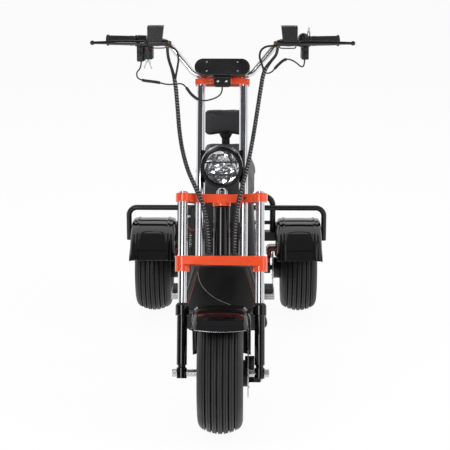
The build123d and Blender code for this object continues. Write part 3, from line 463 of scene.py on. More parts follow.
def give_wall(piece, wall):
    """Give a flat shape a wall, half of it on each side."""
    solid = piece.modifiers.new("sheet", "SOLIDIFY")
    solid.thickness = wall
    solid.offset = 0


for side, sign in sides:
    rounded_copy(f"slider_{side}", steering, gloss_black, "black_paint", 0.0016, f"fork_slider_{side}")
    wiper_profile = (
        (0.0, tube_radius + 0.0004), (0.0, 0.0205), (0.0022, 0.0205), (0.0034, 0.0192),
        (0.0052, 0.0172), (0.0070, 0.0156), (0.0070, tube_radius + 0.0004),
    )
    wiper = turned(wiper_profile, on_fork(sign * leg_x, 0, collar_top), fork_up, 48, closed=True)
    new_piece(f"fork_wiper_{side}", steering, wiper, black_rubber)

# Fork tubes and risers: chromed steel, polished to a mirror, capped at their tops.
chrome = finish(
    "mirror_chrome", (0.78, 0.78, 0.80), 0.05, metallic=1.0, amount=0.05, spread=0.03, scale=18,
    grain_scale=60, grain_depth=0.000001,
)
riser_x = 0.073
riser_back = 0.045
tube_tops = (("fork_tube", leg_x, 0.0, 0.604), ("riser_tube", riser_x, riser_back, 1.001))
for tube, tube_x, tube_back, tube_top in tube_tops:
    for side, sign in sides:
        dress(chrome, f"{tube}_{side}")
        cap_profile = (
            (0.0, tube_radius - 0.0006), (0.0012, tube_radius - 0.0012), (0.0026, 0.0118),
            (0.0030, 0.0100), (0.0022, 0.0090), (0.0022, 0.0),
        )
        cap = turned(cap_profile, on_fork(sign * tube_x, tube_back, tube_top), fork_up, 40)
        new_piece(f"{tube}_cap_{side}", steering, cap, bright_zinc)

# Clamps: three cast yokes in gloss orange that tie the tubes and the stem together.
# Cap bolts close the outer bosses at the back, and a thin satin black plate under the lower one is painted
# shade that darkens its underside inside a thin orange rim.
orange_paint = finish(
    "orange_paint", (0.86, 0.080, 0.018), 0.16, coat=0.8, amount=0.05, spread=0.04, scale=22,
    grain_scale=260, grain_depth=0.000012,
)
for clamp, width in (("lower_clamp", 0.0022), ("middle_clamp", 0.0028), ("top_clamp", 0.0024)):
    rounded_copy(f"{clamp}_casting", steering, orange_paint, "orange_paint", width, clamp)
boss_radius = 0.025
shade_sheet_up = 0.3566
shade_sheet_wall = 0.0010
outer_bolt_ups = (0.352, 0.372, 0.5855)
neck_bolt_up = 0.5855
# painted shade: a black sheet under the lower clamp darkens its underside
underside_shade_sheet = bmesh.new()
underside_shade_corners = (
    (-0.098, -0.019), (0.098, -0.019), (0.098, 0.018), (0.080, 0.062), (-0.080, 0.062), (-0.098, 0.018)
)
underside_shade_sheet.faces.new([underside_shade_sheet.verts.new(on_fork(x, back, shade_sheet_up)) for x, back in underside_shade_corners])
underside_shade_piece = new_piece("lower_clamp_painted_shade", steering, underside_shade_sheet, satin_black)
give_wall(underside_shade_piece, shade_sheet_wall)
pinch_bolts = bmesh.new()
for up in outer_bolt_ups:
    for side, sign in sides:
        add_bolt(
            pinch_bolts, on_fork(sign * (leg_x + 0.010), boss_radius - 0.0035, up), fork_back,
            0.0052, 0.0062, 14,
        )
for side, sign in sides:
    neck_face = Vector((-0.626 * sign, -0.78, 0))
    place = on_fork(sign * 0.078, 0.0158, neck_bolt_up)
    add_bolt(pinch_bolts, place, fork_place.to_3x3() @ neck_face, 0.0040, 0.0016, 14)
new_piece("clamp_bolts", steering, pinch_bolts, satin_black)

# Steering stem: a chromed shaft with a castle nut and a domed cap above the middle clamp.
dress(chrome, "steering_stem")
stem_top = 0.612
nut = turned(
    ((0.0, 0.0150), (0.004, 0.0150), (0.006, 0.0140), (0.0105, 0.0100), (0.0115, 0.0060), (0.0115, 0.0)),
    on_fork(0, riser_back, stem_top), fork_up, 48,
)
for step in range(6):
    turn = 2 * pi * step / 6
    notch = on_fork(0.0150 * cos(turn), riser_back + 0.0150 * sin(turn), stem_top - 0.004)
    add_peg(nut, notch, fork_up, 0.0042, 0.0036, 0.013, 12)
new_piece("stem_castle_nut", steering, nut, chrome)

# Front fender: a pressed steel arch in gloss black with rolled edges and a bowed lip.
# A bright zinc bead along the lip is a painted highlight for its rolled edge, and a lug on each side bolts
# it to the legs' collars.
sheet_wall = 0.004


def fender_profile(half, radius, skirt, edge, swage, rise):
    """Half of the outer skin and its mirror, from one rolled rim across to the other."""
    right = [(half + 0.002, radius - skirt), (half, radius - skirt + 0.003), (half, radius - edge)]
    for degrees_up in range(15, 91, 15):
        swing = radians(degrees_up)
        right.append((half - edge + edge * cos(swing), radius - edge + edge * sin(swing)))
    for shift, lift in ((0.004, 0.0), (0.007, 0.7), (0.010, 1.0), (0.015, 1.0), (0.018, 0.7), (0.021, 0.0)):
        right.append((half - edge - swage - shift, radius + rise * lift))
    right.append((0.0, radius + rise * 0.2))
    left = [(-place, height) for place, height in right[-2::-1]]
    return right + left


def arched(profile, axle, start, arc, steps, trim, widen, bow=0.0, camber=0.0):
    """A skin spun about the wheel's axle: skirts cut away at the bowed lip and wider to the rear."""
    shape = bmesh.new()
    swing = radians(start)
    outward = Vector((0, -cos(swing), sin(swing)))
    row = [shape.verts.new(axle + across * place + outward * radius) for place, radius in profile]
    edges = [shape.edges.new(pair) for pair in zip(row, row[1:])]
    bmesh.ops.spin(shape, geom=row + edges, cent=axle, axis=-across, angle=radians(arc), steps=steps)
    bmesh.ops.remove_doubles(shape, verts=shape.verts, dist=1e-6)
    crown = max(radius for place, radius in profile)
    skirt = crown - min(radius for place, radius in profile)
    half_width = max(place for place, radius in profile)
    for vertex in shape.verts:
        spoke = vertex.co - axle
        share = (atan2(spoke.z, -spoke.y) - swing) / radians(trim)
        lowest = crown - 0.002 - (skirt - 0.002) * min(1.0, max(0.0, share))
        if hypot(spoke.y, spoke.z) < lowest:
            flat = Vector((0, spoke.y, spoke.z)).normalized()
            vertex.co = axle + across * spoke.x + flat * lowest
        behind = atan2(spoke.z, -spoke.y) if spoke.z > 0 or spoke.y < 0 else pi
        far = min(1.0, max(0.0, (behind - radians(100)) / radians(40)))
        inner = max(0.0, 1 - (spoke.x / half_width) ** 2)
        near_lip = min(1.0, max(0.0, 1 - share * trim / 30))
        droop = Matrix.Rotation(-radians(bow) * inner * near_lip, 4, -across)
        lifted = vertex.co - axle
        flat = Vector((0, lifted.y, lifted.z)).normalized()
        vertex.co = axle + droop @ (lifted + flat * camber * inner)
        vertex.co.x += widen * far * far * (3 - 2 * far) * spoke.x / half_width
    for face in shape.faces:
        face.normal_update()
    lean = sum((face.normal.dot(face.calc_center_median() - axle) for face in shape.faces))
    if lean < 0:
        bmesh.ops.reverse_faces(shape, faces=shape.faces)
    return shape


def wire(name, places, radius, kind="POLY", resolution=3, taper=None):
    """A round wire through places, as a shape."""
    data = bpy.data.curves.new(name, "CURVE")
    data.dimensions = "3D"
    data.bevel_depth = radius
    data.bevel_resolution = resolution
    data.use_fill_caps = True
    spline = data.splines.new(kind)
    spline.points.add(len(places) - 1)
    for step, (point, place) in enumerate(zip(spline.points, places)):
        point.co = (*place, 1)
        if taper:
            point.radius = taper[step]
    if kind == "NURBS":
        spline.order_u = 3
        spline.use_endpoint_u = True
    holder = bpy.data.objects.new(name, data)
    mesh = bpy.data.meshes.new_from_object(holder)
    bpy.data.objects.remove(holder)
    bpy.data.curves.remove(data)
    shape = bmesh.new()
    shape.from_mesh(mesh)
    bpy.data.meshes.remove(mesh)
    return shape


def thicken(piece, wall):
    """Give a pressed skin its sheet thickness on the inside, with rounded rims."""
    solid = piece.modifiers.new("sheet_thickness", "SOLIDIFY")
    solid.thickness = wall
    solid.offset = -1
    soften(piece, wall * 0.3, 2, 55)


front_fender_radius = 0.222
lip_start = 59.5
lip_bow = 3.2
lip_camber = 0.004
lip_half = 0.084
lip_fade = 0.092
lip_highlight_radius = 0.0011
fender_end = 184.0
front_skin = arched(
    fender_profile(0.090, front_fender_radius, 0.026, 0.016, 0.006, 0.0),
    front_axle, lip_start, fender_end - lip_start, 64, 20, 0.009, lip_bow, lip_camber,
)
front_fender = new_piece("front_fender_arch", steering, front_skin, gloss_black)
thicken(front_fender, sheet_wall)
# painted highlight: a bright zinc wire along the lip stands in for the rolled edge catching the light
lip_highlight_line = []
for step in range(33):
    place = (step / 16 - 1) * lip_half
    inner = 1 - (place / lip_fade) ** 2
    swing = radians(lip_start - lip_bow * inner - 0.2)
    reach = front_fender_radius - 0.0012 + lip_camber * inner
    lip_highlight_line.append(front_axle + Vector((place, -reach * cos(swing), reach * sin(swing))))
new_piece("front_fender_lip_highlight", steering, wire("lip", lip_highlight_line, lip_highlight_radius), bright_zinc)
lugs = bmesh.new()
for side, sign in sides:
    add_block(lugs, (sign * 0.097, 0, 0.2035), (0.018, 0.028, 0.010), fork_place)
    add_bolt(lugs, on_fork(sign * 0.0975, 0, 0.2085), fork_up, 0.0055, 0.005)
soften(new_piece("front_fender_lugs", steering, lugs, satin_black), 0.001, 2)
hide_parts("front_fender")

# Front caliper: a cast block over the disc behind the left leg, with two slide bolts.
rounded_copy("front_caliper_casting", steering, satin_black, "satin_black", 0.0022, "front_caliper")
slide_bolts = bmesh.new()
for up in (-0.020, 0.002):
    add_bolt(slide_bolts, on_fork(leg_x - 0.002, 0.0275, up), across, 0.006, 0.012)
new_piece("front_caliper_bolts", steering, slide_bolts, bright_zinc)

# Handlebar: one chromed tube, bent up from the top clamp and swept back at the ends.
# Two alloy blocks with four cap bolts each hold it on the clamp.
dress(chrome, "handlebar")
cast_alloy = finish(
    "cast_alloy", (0.58, 0.58, 0.59), 0.34, metallic=1.0, amount=0.14, spread=0.10, scale=40,
    grain_scale=500, grain_depth=0.00006,
)
rounded_copy("bar_clamp_blocks", steering, cast_alloy, "alloy", 0.0018, "bar_clamps")
bar_up = 1.013
block_x = 0.040
block_bolts = bmesh.new()
for side, sign in sides:
    for x in (-0.008, 0.008):
        for back in (-0.0155, 0.0155):
            place = on_fork(sign * block_x + x, riser_back + back, bar_up + 0.016)
            add_bolt(block_bolts, place, fork_up, 0.0032, 0.004, 14)
new_piece("bar_clamp_bolts", steering, block_bolts, bright_zinc)

# Grips: moulded rubber sleeves with lengthwise ribs between an inner and an outer flange.
bar_radius = 0.011
bar_high = on_fork(0.190, 0.028, 1.127)
bar_end = on_fork(0.394, 0.056, 1.138)
bar_along = (bar_end - bar_high).normalized()
bar_rear = (Vector((0, 1, 0)) - bar_along * bar_along.y).normalized()
bar_over = bar_along.cross(bar_rear)
grip_start = 0.294
grip_length = 0.106
grip_ribs = 26


def bar_station(x):
    """A frame on the left bar end, that far out: along, back and up."""
    share = (x - bar_high.x) / (bar_end.x - bar_high.x)
    turn = Matrix((bar_along, bar_rear, bar_over)).transposed().to_4x4()
    return Matrix.Translation(bar_high.lerp(bar_end, share)) @ turn


def to_side(shape, sign):
    """Leave a shape on the left, or mirror it to the right."""
    if sign < 0:
        bmesh.ops.scale(shape, vec=(-1, 1, 1), verts=shape.verts)
        bmesh.ops.reverse_faces(shape, faces=shape.faces)
    return shape


def add_shape(shape, other):
    """Put another shape into this one."""
    mesh = bpy.data.meshes.new("joined")
    other.to_mesh(mesh)
    other.free()
    shape.from_mesh(mesh)
    bpy.data.meshes.remove(mesh)


grip_profile = (
    (0.0, bar_radius + 0.0003), (0.0, 0.0180), (0.0012, 0.0194), (0.0048, 0.0194), (0.0064, 0.0176),
    (0.0085, 0.0158), (0.0950, 0.0152), (0.0985, 0.0176), (0.1005, 0.0192), (0.1045, 0.0192),
    (grip_length, 0.0176), (grip_length, 0.0),
)
for side, sign in sides:
    station = bar_station(grip_start)
    grip = turned(grip_profile, station.translation, bar_along, 48)
    for rib in range(grip_ribs):
        turn = Matrix.Rotation(2 * pi * rib / grip_ribs, 4, "X")
        add_block(grip, (0.0520, 0, 0.0153), (0.084, 0.0021, 0.0022), station @ turn)
    for ring in range(3):
        place = station @ Vector((0.0135 + 0.0046 * ring, 0, 0))
        hoop = turned(
            ((-0.0014, 0.0150), (-0.0011, 0.0172), (0.0011, 0.0172), (0.0014, 0.0150)),
            place, bar_along, 48, closed=True,
        )
        add_shape(grip, hoop)
    new_grip = new_piece(f"ribbed_grip_{side}", steering, to_side(grip, sign), black_rubber)
    if sign > 0:
        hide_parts("grips")

# Brake masters: a slim cast cylinder with a fluid box on top, clamped round the bar.
# A brass bolt and washers close the inner end, a brass union takes the hose below,
# and a thin bent rod under it works the brake lamp switch.
brass = finish(
    "brass", (0.17, 0.135, 0.075), 0.34, metallic=1.0, amount=0.2, spread=0.1, scale=80, grain_scale=900,
    grain_depth=0.00003,
)
semi_black = finish(
    "semi_gloss_black", (0.009, 0.009, 0.010), 0.24, amount=0.15, spread=0.05, grain_scale=420,
    grain_depth=0.00004,
)
master_x = 0.226
master_start = 0.184
master_end = 0.254
master_radius = 0.0105
master_ahead = 0.045
reservoir_low = 0.006
reservoir_top = 0.058
reservoir_half = 0.028
reservoir_slant = 0.006
ring_middle = bar_station(master_x).translation
master_line = Vector((0, ring_middle.y - master_ahead, ring_middle.z))


def add_box(shape, low, high):
    """A plain box between two corners."""
    low = Vector(low)
    high = Vector(high)
    return add_block(shape, (low + high) / 2, high - low)


for side, sign in sides:
    casting = turned(
        (
            (master_start, 0.0), (master_start, 0.0085), (master_start + 0.002, master_radius),
            (master_end - 0.010, master_radius), (master_end, 0.0085), (master_end, 0.0),
        ),
        master_line, across, 32,
    )
    box = add_box(
        casting,
        (master_x - reservoir_half, master_line.y - 0.021, master_line.z + reservoir_low),
        (master_x + reservoir_half, master_line.y + 0.021, master_line.z + reservoir_top),
    )
    for vertex in box:
        if vertex.co.x < master_x and vertex.co.z < master_line.z + 0.02:
            vertex.co.x += reservoir_slant
    add_box(
        casting,
        (master_x - 0.009, master_line.y, ring_middle.z - 0.008),
        (master_x + 0.009, ring_middle.y - 0.0125, ring_middle.z + 0.008),
    )
    ring_profile = (
        (-0.010, 0.0114), (-0.010, 0.0160), (-0.008, 0.0175), (0.008, 0.0175), (0.010, 0.0160),
        (0.010, 0.0114),
    )
    add_shape(casting, turned(ring_profile, ring_middle, bar_along, 40, closed=True))
    boss_profile = (
        (0.0120, 0.0), (0.0120, 0.0078), (0.0330, 0.0078), (0.0340, 0.0068), (0.0340, 0.0034),
        (0.0200, 0.0034), (0.0200, 0.0),
    )
    add_shape(casting, turned(boss_profile, ring_middle, (0, 0, 1), 32))
    master = new_piece(
        f"master_casting_{side}", steering, to_side(casting, sign), semi_black
    )
    soften(master, 0.0022, 3)
    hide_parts(f"brake_master_{side}")

    lid = bmesh.new()
    front = master_line.y - 0.0214
    panel = (master_x - reservoir_half + 0.006, master_x + reservoir_half - 0.004)
    for low_z, high_z in ((0.0165, 0.0180), (0.0485, 0.0500)):
        add_box(
            lid, (panel[0], front, master_line.z + low_z), (panel[1], front + 0.002, master_line.z + high_z)
        )
    for x in panel:
        add_box(
            lid, (x - 0.0008, front, master_line.z + 0.0165),
            (x + 0.0008, front + 0.002, master_line.z + 0.0500)
        )
    new_piece(f"reservoir_frame_{side}", steering, to_side(lid, sign), satin_black)
    screws = bmesh.new()
    for x in (-0.020, 0.020):
        add_bolt(
            screws, (master_x + x, master_line.y, master_line.z + reservoir_top - 0.0008), (0, 0, 1),
            0.0028, 0.0014, 14,
        )
    new_piece(f"reservoir_screws_{side}", steering, to_side(screws, sign), bright_zinc)

    hose_start = on_fork(0.187, -0.0043, 1.1003)
    fitting = turned(
        (
            (-0.002, 0.0), (-0.002, 0.0066), (0.003, 0.0070), (0.005, 0.0070), (0.006, 0.0058),
            (0.014, 0.0058), (0.014, 0.0)
        ),
        hose_start, (0, 0, 1), 24,
    )
    for place, radius, length in ((0.1835, 0.0088, 0.0020), (0.1785, 0.0074, 0.0036)):
        collar = turned(
            ((0.0, 0.0), (0.0, radius), (length, radius), (length, 0.0)),
            master_line + across * place, across, 24,
        )
        add_shape(fitting, collar)
    add_bolt(fitting, master_line + across * 0.1785, -across, 0.0064, 0.0050)
    new_piece(f"brass_union_{side}", steering, to_side(fitting, sign), brass)

    rod_line = [
        master_line + Vector((x, 0.002, -drop)) for x, drop in (
            (0.2500, 0.004), (0.2495, 0.0165), (0.2400, 0.0180), (0.2030, 0.0180), (0.1920, 0.0165),
            (0.1915, 0.004),
        )
    ]
    rod = wire("rod", rod_line, 0.0020, "NURBS")
    new_piece(f"switch_rod_{side}", steering, to_side(rod, sign), semi_black)

# Brake levers: slim cast blades that taper to a ball end, in gloss black.
lever_reach = 0.052
lever_radius = 0.0074
lever_y = bar_station(grip_start).translation.y - lever_reach
lever_line = (
    Vector((master_end - 0.004, master_line.y, master_line.z)),
    Vector((0.2690, master_line.y - 0.001, master_line.z)),
    Vector((grip_start, lever_y, master_line.z)),
    Vector((0.3607, lever_y + 0.006, master_line.z)),
    Vector((0.4420, lever_y - 0.004, master_line.z)),
)
for side, sign in sides:
    blade = wire("blade", lever_line, lever_radius, "NURBS", 5, (1.10, 1.20, 1.05, 0.92, 0.62))
    bmesh.ops.create_uvsphere(
        blade, u_segments=24, v_segments=16, radius=0.0080, matrix=Matrix.Translation(lever_line[-1])
    )
    pivot = Vector((0.2600, master_line.y, master_line.z))
    bmesh.ops.create_cone(
        blade, cap_ends=True, segments=24, radius1=0.0085, radius2=0.0085, depth=0.020,
        matrix=Matrix.Translation(pivot),
    )
    lever = new_piece(f"lever_blade_{side}", steering, to_side(blade, sign), gloss_black)
    if sign > 0:
        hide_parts("brake_levers")

# Switch pods: grained plastic housings clamped round the bar inside the grips.
# A round collar covers the bar beside each; the right one has the key lock and its keys.
grained_plastic = finish(
    "grained_black_plastic", (0.0095, 0.0095, 0.0105), 0.44, amount=0.15, spread=0.08, scale=20,
    grain_scale=620, grain_depth=0.00010, pebbles=0.6,
)
red_gloss = finish(
    "red_paint", (0.30, 0.008, 0.012), 0.22, coat=0.3, amount=0.08, spread=0.05, grain_scale=320,
    grain_depth=0.00001,
)
pod_x = 0.281
for side, sign in sides:
    rounded_copy(
        f"switch_housing_{side}", steering, grained_plastic, "black_plastic", 0.0040, f"switch_pod_{side}"
    )
    station = bar_station(pod_x)
    collar = turned(
        (
            (-0.022, 0.0114), (-0.022, 0.0175), (-0.020, 0.0192), (0.008, 0.0200), (0.0115, 0.0190),
            (0.0125, 0.0170), (0.0125, 0.0114),
        ),
        station.translation, bar_along, 40, closed=True,
    )
    if sign > 0:
        bmesh.ops.create_uvsphere(
            collar, u_segments=28, v_segments=16, radius=0.0175,
            matrix=station @ Matrix.Translation((-0.006, -0.002, 0.0125)) @ Matrix.Diagonal((1, 1, 0.9, 1)),
        )
    new_piece(f"bar_collar_{side}", steering, to_side(collar, sign), semi_black)
    knobs = bmesh.new()
    for drop, radius in ((0.022, 0.0062), (0.042, 0.0072)):
        place = station @ Vector((0, -0.018, -drop))
        add_peg(knobs, place - bar_rear * 0.0025, -bar_rear, radius, radius * 0.85, 0.007)
    switch_knobs = new_piece(
        f"switch_knobs_{side}", steering, to_side(knobs, sign), semi_black
    )
    soften(switch_knobs, 0.0009, 2)
    cutoff = bmesh.new()
    add_block(cutoff, (-0.0125, -0.0095, -0.0265), (0.006, 0.010, 0.008), station)
    cutoff_button = new_piece(
        f"cutoff_button_{side}", steering, to_side(cutoff, sign), red_gloss
    )
    soften(cutoff_button, 0.0012, 2)
stud = turned(
    (
        (0.010, 0.0), (0.010, 0.0062), (0.031, 0.0062), (0.033, 0.0050), (0.033, 0.0036), (0.044, 0.0036),
        (0.046, 0.0024), (0.046, 0.0),
    ),
    bar_station(0.2940).translation, (0, 0, 1), 24,
)
new_piece("mirror_stud", steering, stud, bright_zinc)
lock_station = bar_station(0.2545)
fob = bmesh.new()
for corner in ((0.0, -0.014), (0.011, -0.034), (0.004, -0.058), (-0.007, -0.054), (-0.010, -0.030)):
    fob.verts.new(lock_station @ Vector((corner[0], -0.0185, corner[1])))
fob.faces.new(fob.verts)
fob_piece = new_piece("key_fob", steering, to_side(fob, -1), satin_black)
give_wall(fob_piece, 0.006)
soften(fob_piece, 0.0018, 3)
fob_band = bmesh.new()
add_block(fob_band, (0.0005, -0.0220, -0.0215), (0.007, 0.0016, 0.005), lock_station)
new_piece("key_fob_band", steering, to_side(fob_band, -1), red_gloss)
keys = bmesh.new()
key_ring = lock_station @ Matrix.Translation((0.0, -0.0120, -0.057))
for lean in (-21, 19):
    swing = key_ring @ Matrix.Rotation(radians(lean), 4, "Y")
    for drop, size in ((-0.007, (0.010, 0.0022, 0.016)), (-0.026, (0.0050, 0.0020, 0.026))):
        add_block(keys, (0, 0, drop), size, swing)
soften(new_piece("ignition_keys", steering, to_side(keys, -1), bright_zinc), 0.0005, 2)

# Meter: an oval plastic case that faces the rider, screwed to a bracket on the top clamp.
# Its back, seen from ahead, is bare but for the screws; a dark window covers the dial.
rounded_copy("meter_case", steering, semi_black, "black_plastic", 0.0042, "meter", segments=4)
meter_middle = 1.026
meter_front = -0.032
meter_rear = -0.002
meter_screws = bmesh.new()
for x in (-0.052, 0.052):
    for up in (-0.0155, 0.0155):
        add_bolt(
            meter_screws, on_fork(x, meter_front + 0.0008, meter_middle + up), -fork_back,
            0.0030, 0.0016, 14,
        )
for x in (-0.014, 0.014):
    add_bolt(meter_screws, on_fork(x, -0.0058, 0.979), -fork_back, 0.0056, 0.0034, 14)
new_piece("meter_screws", steering, meter_screws, bright_zinc)
dial_glass = finish(
    "dial_window", (0.010, 0.012, 0.014), 0.06, coat=0.6, amount=0.1, spread=0.02, grain_scale=100,
    grain_depth=0.000004,
)
window = bmesh.new()
for x in (-0.050, 0.050):
    bmesh.ops.create_circle(
        window, cap_ends=False, segments=40, radius=0.0205,
        matrix=fork_place @ Matrix.Translation((x, meter_rear + 0.0006, meter_middle))
        @ Matrix.Rotation(-pi / 2, 4, "X"),
    )
bmesh.ops.convex_hull(window, input=window.verts)
new_piece("meter_window", steering, window, dial_glass)

# Headlamp: a gloss black bowl with a bright bead and a wide ring, held between the risers.
# Behind the clear lens, dark bars part a cluster of small faceted reflectors.
# Its two ears are black saddles that hold the risers from within, with a band at both ends.
lens_low, lens_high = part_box("headlamp_lens")
lamp_middle = Vector((0, lens_low.y, (lens_low.z + lens_high.z) / 2))
lamp_back = Vector((0, 1, 0))
lens_radius = 0.0600
lamp_recess = 0.026
gloss_plastic = finish(
    "gloss_black_plastic", (0.006, 0.006, 0.007), 0.13, coat=0.0, amount=0.12, spread=0.04, grain_scale=220,
    grain_depth=0.00001,
)
gloss_plastic.node_tree.nodes["Principled BSDF"].inputs["Specular IOR Level"].default_value = 0.2
rounded_copy(
    "headlamp_bowl", steering, gloss_plastic, "gloss_plastic", 0.0026, "headlamp_shell", segments=3
)
ear_low, ear_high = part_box("riser_tube_left")
ear_bore = (ear_high.x - ear_low.x) / 2
ear_foot = 0.642
ear_length = 0.110
ear_band = 0.012
ear_wall = 0.0018
ear_band_wall = 0.0034
ear_sink = 0.0002
ear_cut = 0.001
ear_profile = (
    (0.0, ear_bore - ear_sink), (0.0, ear_bore + ear_band_wall), (ear_band, ear_bore + ear_band_wall),
    (ear_band + 0.001, ear_bore + ear_wall), (ear_length - ear_band - 0.001, ear_bore + ear_wall),
    (ear_length - ear_band, ear_bore + ear_band_wall), (ear_length, ear_bore + ear_band_wall),
    (ear_length, ear_bore - ear_sink),
)
for side, sign in sides:
    ear = turned(ear_profile, on_fork(sign * riser_x, riser_back, ear_foot), fork_up, 40, closed=True)
    cut = bmesh.ops.bisect_plane(
        ear, geom=ear.verts[:] + ear.edges[:] + ear.faces[:], plane_co=(sign * (riser_x - ear_cut), 0, 0),
        plane_no=(sign, 0, 0), clear_outer=True,
    )
    rims = [part for part in cut["geom_cut"] if isinstance(part, bmesh.types.BMEdge)]
    bmesh.ops.holes_fill(ear, edges=rims, sides=0)
    bmesh.ops.recalc_face_normals(ear, faces=ear.faces)
    new_piece(f"headlamp_ear_{side}", steering, ear, gloss_plastic)
bead = turned(
    ((0.0345, 0.0670), (0.0345, 0.0694), (0.0360, 0.0699), (0.0375, 0.0690), (0.0375, 0.0560)),
    lamp_middle, lamp_back, 96,
)
new_piece("headlamp_bead", steering, bead, chrome)
reflector_silver = finish(
    "reflector_silver", (0.62, 0.62, 0.64), 0.06, metallic=1.0, amount=0.10, spread=0.04, scale=120,
    grain_scale=240, grain_depth=0.00002,
)
facet_rings = (0.0, 0.008, 0.017, 0.026, 0.035, 0.044, 0.052, lens_radius - 0.0008)
facet_depth = 0.0042
loose_facets = 0.055
facets = turned(
    [(0.0, radius) for radius in facet_rings],
    lamp_middle + lamp_back * (lamp_recess - 0.006), lamp_back, 22,
)
noise.seed_set(5)
for vertex in facets.verts:
    spoke = vertex.co - lamp_middle
    if hypot(spoke.x, spoke.z) < loose_facets:
        jolt = Vector((0.30 * noise.random() - 0.15, noise.random() - 0.5, 0.30 * noise.random() - 0.15))
        vertex.co += jolt * 2 * facet_depth
bmesh.ops.triangulate(facets, faces=facets.faces)
reflectors = new_piece("headlamp_reflectors", steering, facets, reflector_silver)
reflectors.data.shade_flat()
led_yellow = finish(
    "led_phosphor", (0.72, 0.66, 0.30), 0.30, amount=0.15, spread=0.05, scale=300, grain_scale=800,
    grain_depth=0.00005,
)
# columns: across, up
leds = (
    (-0.022, 0.034), (0.014, 0.036), (0.038, 0.028), (-0.040, 0.003), (-0.014, -0.001), (0.016, 0.001),
    (0.040, -0.004), (-0.033, -0.031), (0.000, -0.036), (0.033, -0.031),
)
led_shapes = bmesh.new()
for x, up in leds:
    place = lamp_middle + Vector((x, lamp_recess - 0.010, up))
    add_peg(led_shapes, place, -lamp_back, 0.0026, 0.0018, 0.012, 10)
new_piece("headlamp_leds", steering, led_shapes, led_yellow)
bezel = turned(
    (
        (-0.0022, 0.0572), (-0.0030, 0.0586), (-0.0030, 0.0662), (-0.0012, 0.0696), (0.0060, 0.0696),
        (0.0004, 0.0604), (0.0004, 0.0572)
    ),
    lamp_middle, lamp_back, 96, closed=True,
)
new_piece("headlamp_bezel", steering, bezel, gloss_plastic)
bars = bmesh.new()
bar_width = 0.0056
bar_depth = 0.009
for start, end in (
    ((-0.0545, 0.0165), (0.0545, 0.0165)),
    ((-0.0505, -0.0262), (0.0505, -0.0262)),
    ((0.019, 0.053), (0.032, 0.0165)),
    ((-0.028, -0.0262), (-0.019, -0.053)),
    ((0.027, -0.0262), (0.017, -0.053)),
):
    middle = lamp_middle + Vector(((start[0] + end[0]) / 2, 0.0065, (start[1] + end[1]) / 2))
    turn = Matrix.Rotation(-atan2(end[1] - start[1], end[0] - start[0]), 4, "Y")
    length = hypot(end[0] - start[0], end[1] - start[1])
    add_block(bars, (0, 0, 0), (length, bar_depth, bar_width), Matrix.Translation(middle) @ turn)
soften(new_piece("headlamp_bars", steering, bars, gloss_plastic), 0.0008, 2)
lamp_glass = bpy.data.materials.new("clear_lens")
lamp_glass.use_nodes = True
glass_shader = lamp_glass.node_tree.nodes["Principled BSDF"]
glass_shader.inputs["Base Color"].default_value = (0.97, 0.98, 1.0, 1)
glass_shader.inputs["Roughness"].default_value = 0.02
glass_shader.inputs["IOR"].default_value = 1.46
glass_shader.inputs["Transmission Weight"].default_value = 1.0
dress(lamp_glass, "headlamp_lens")

# Frame spine: a square steel tube welded to the head tube, enamelled gloss black.
chassis = "chassis"
rounded_copy("spine_weldment", chassis, gloss_black, "black_paint", 0.0040, "frame_spine")

# Front cowl: a leaning leg shield of grained plastic that widens towards the deck.
# A thin red line runs down each side beside a lighter grey strip of painted light for the side facet, and a
# fine alloy wire across the face is a painted highlight along a crease.
rounded_copy("leg_shield", chassis, grained_plastic, "black_plastic", 0.0060, "front_cowl", segments=4)
stripe_red = finish(
    "pinstripe_red", (0.42, 0.09, 0.07), 0.35, amount=0.08, spread=0.05, grain_depth=0.00001
)
cowl_slope = radians(12.5)
cowl_top_half = 0.085
cowl_bottom_half = 0.166
stripe_inset = 0.018
stripe_width = 0.0015
stripe_rise = 0.0006
cowl_face = Vector((0, -cos(cowl_slope), -sin(cowl_slope)))
cowl_down = Vector((0, sin(cowl_slope), -cos(cowl_slope)))
cowl_top_edge = Vector((0, front_axle.y + 0.268, 0.525))
cowl_length = (0.525 - 0.237) / cos(cowl_slope)
stripes = bmesh.new()
for side, sign in sides:
    ends = []
    for along in (0.018, cowl_length - 0.030):
        share = along / cowl_length
        edge_x = cowl_top_half + (cowl_bottom_half - cowl_top_half) * share - stripe_inset
        ends.append(cowl_top_edge + across * sign * edge_x + cowl_down * along)
    run = ends[1] - ends[0]
    turn = Matrix((run.normalized(), run.normalized().cross(cowl_face), -cowl_face)).transposed().to_4x4()
    middle = (ends[0] + ends[1]) / 2 + cowl_face * 0.0001
    add_block(
        stripes, (0, 0, 0), (run.length, stripe_width, stripe_rise), Matrix.Translation(middle) @ turn
    )
new_piece("leg_shield_stripes", chassis, stripes, stripe_red)
# painted light: lighter grey strips stand in for the side facets that catch more light
lit_facet_grey = finish(
    "painted_lit_facet_grey", (0.050, 0.050, 0.053), 0.42, amount=0.12, spread=0.06, scale=18, grain_scale=620,
    grain_depth=0.00006, pebbles=0.5,
)
lit_facet_strips = bmesh.new()
for side, sign in sides:
    corners = []
    for along, inset in (
        (0.010, 0.0078), (0.010, 0.0160), (cowl_length - 0.018, 0.0160), (cowl_length - 0.018, 0.0078)
    ):
        edge_x = cowl_top_half + (cowl_bottom_half - cowl_top_half) * along / cowl_length - inset
        corners.append(
            lit_facet_strips.verts.new(
                cowl_top_edge + across * sign * edge_x + cowl_down * along + cowl_face * 0.0004
            )
        )
    lit_facet_strips.faces.new(corners if sign > 0 else corners[::-1])
bmesh.ops.recalc_face_normals(lit_facet_strips, faces=lit_facet_strips.faces)
lit_facet_piece = new_piece("leg_shield_lit_facets", chassis, lit_facet_strips, lit_facet_grey)
give_wall(lit_facet_piece, 0.0008)
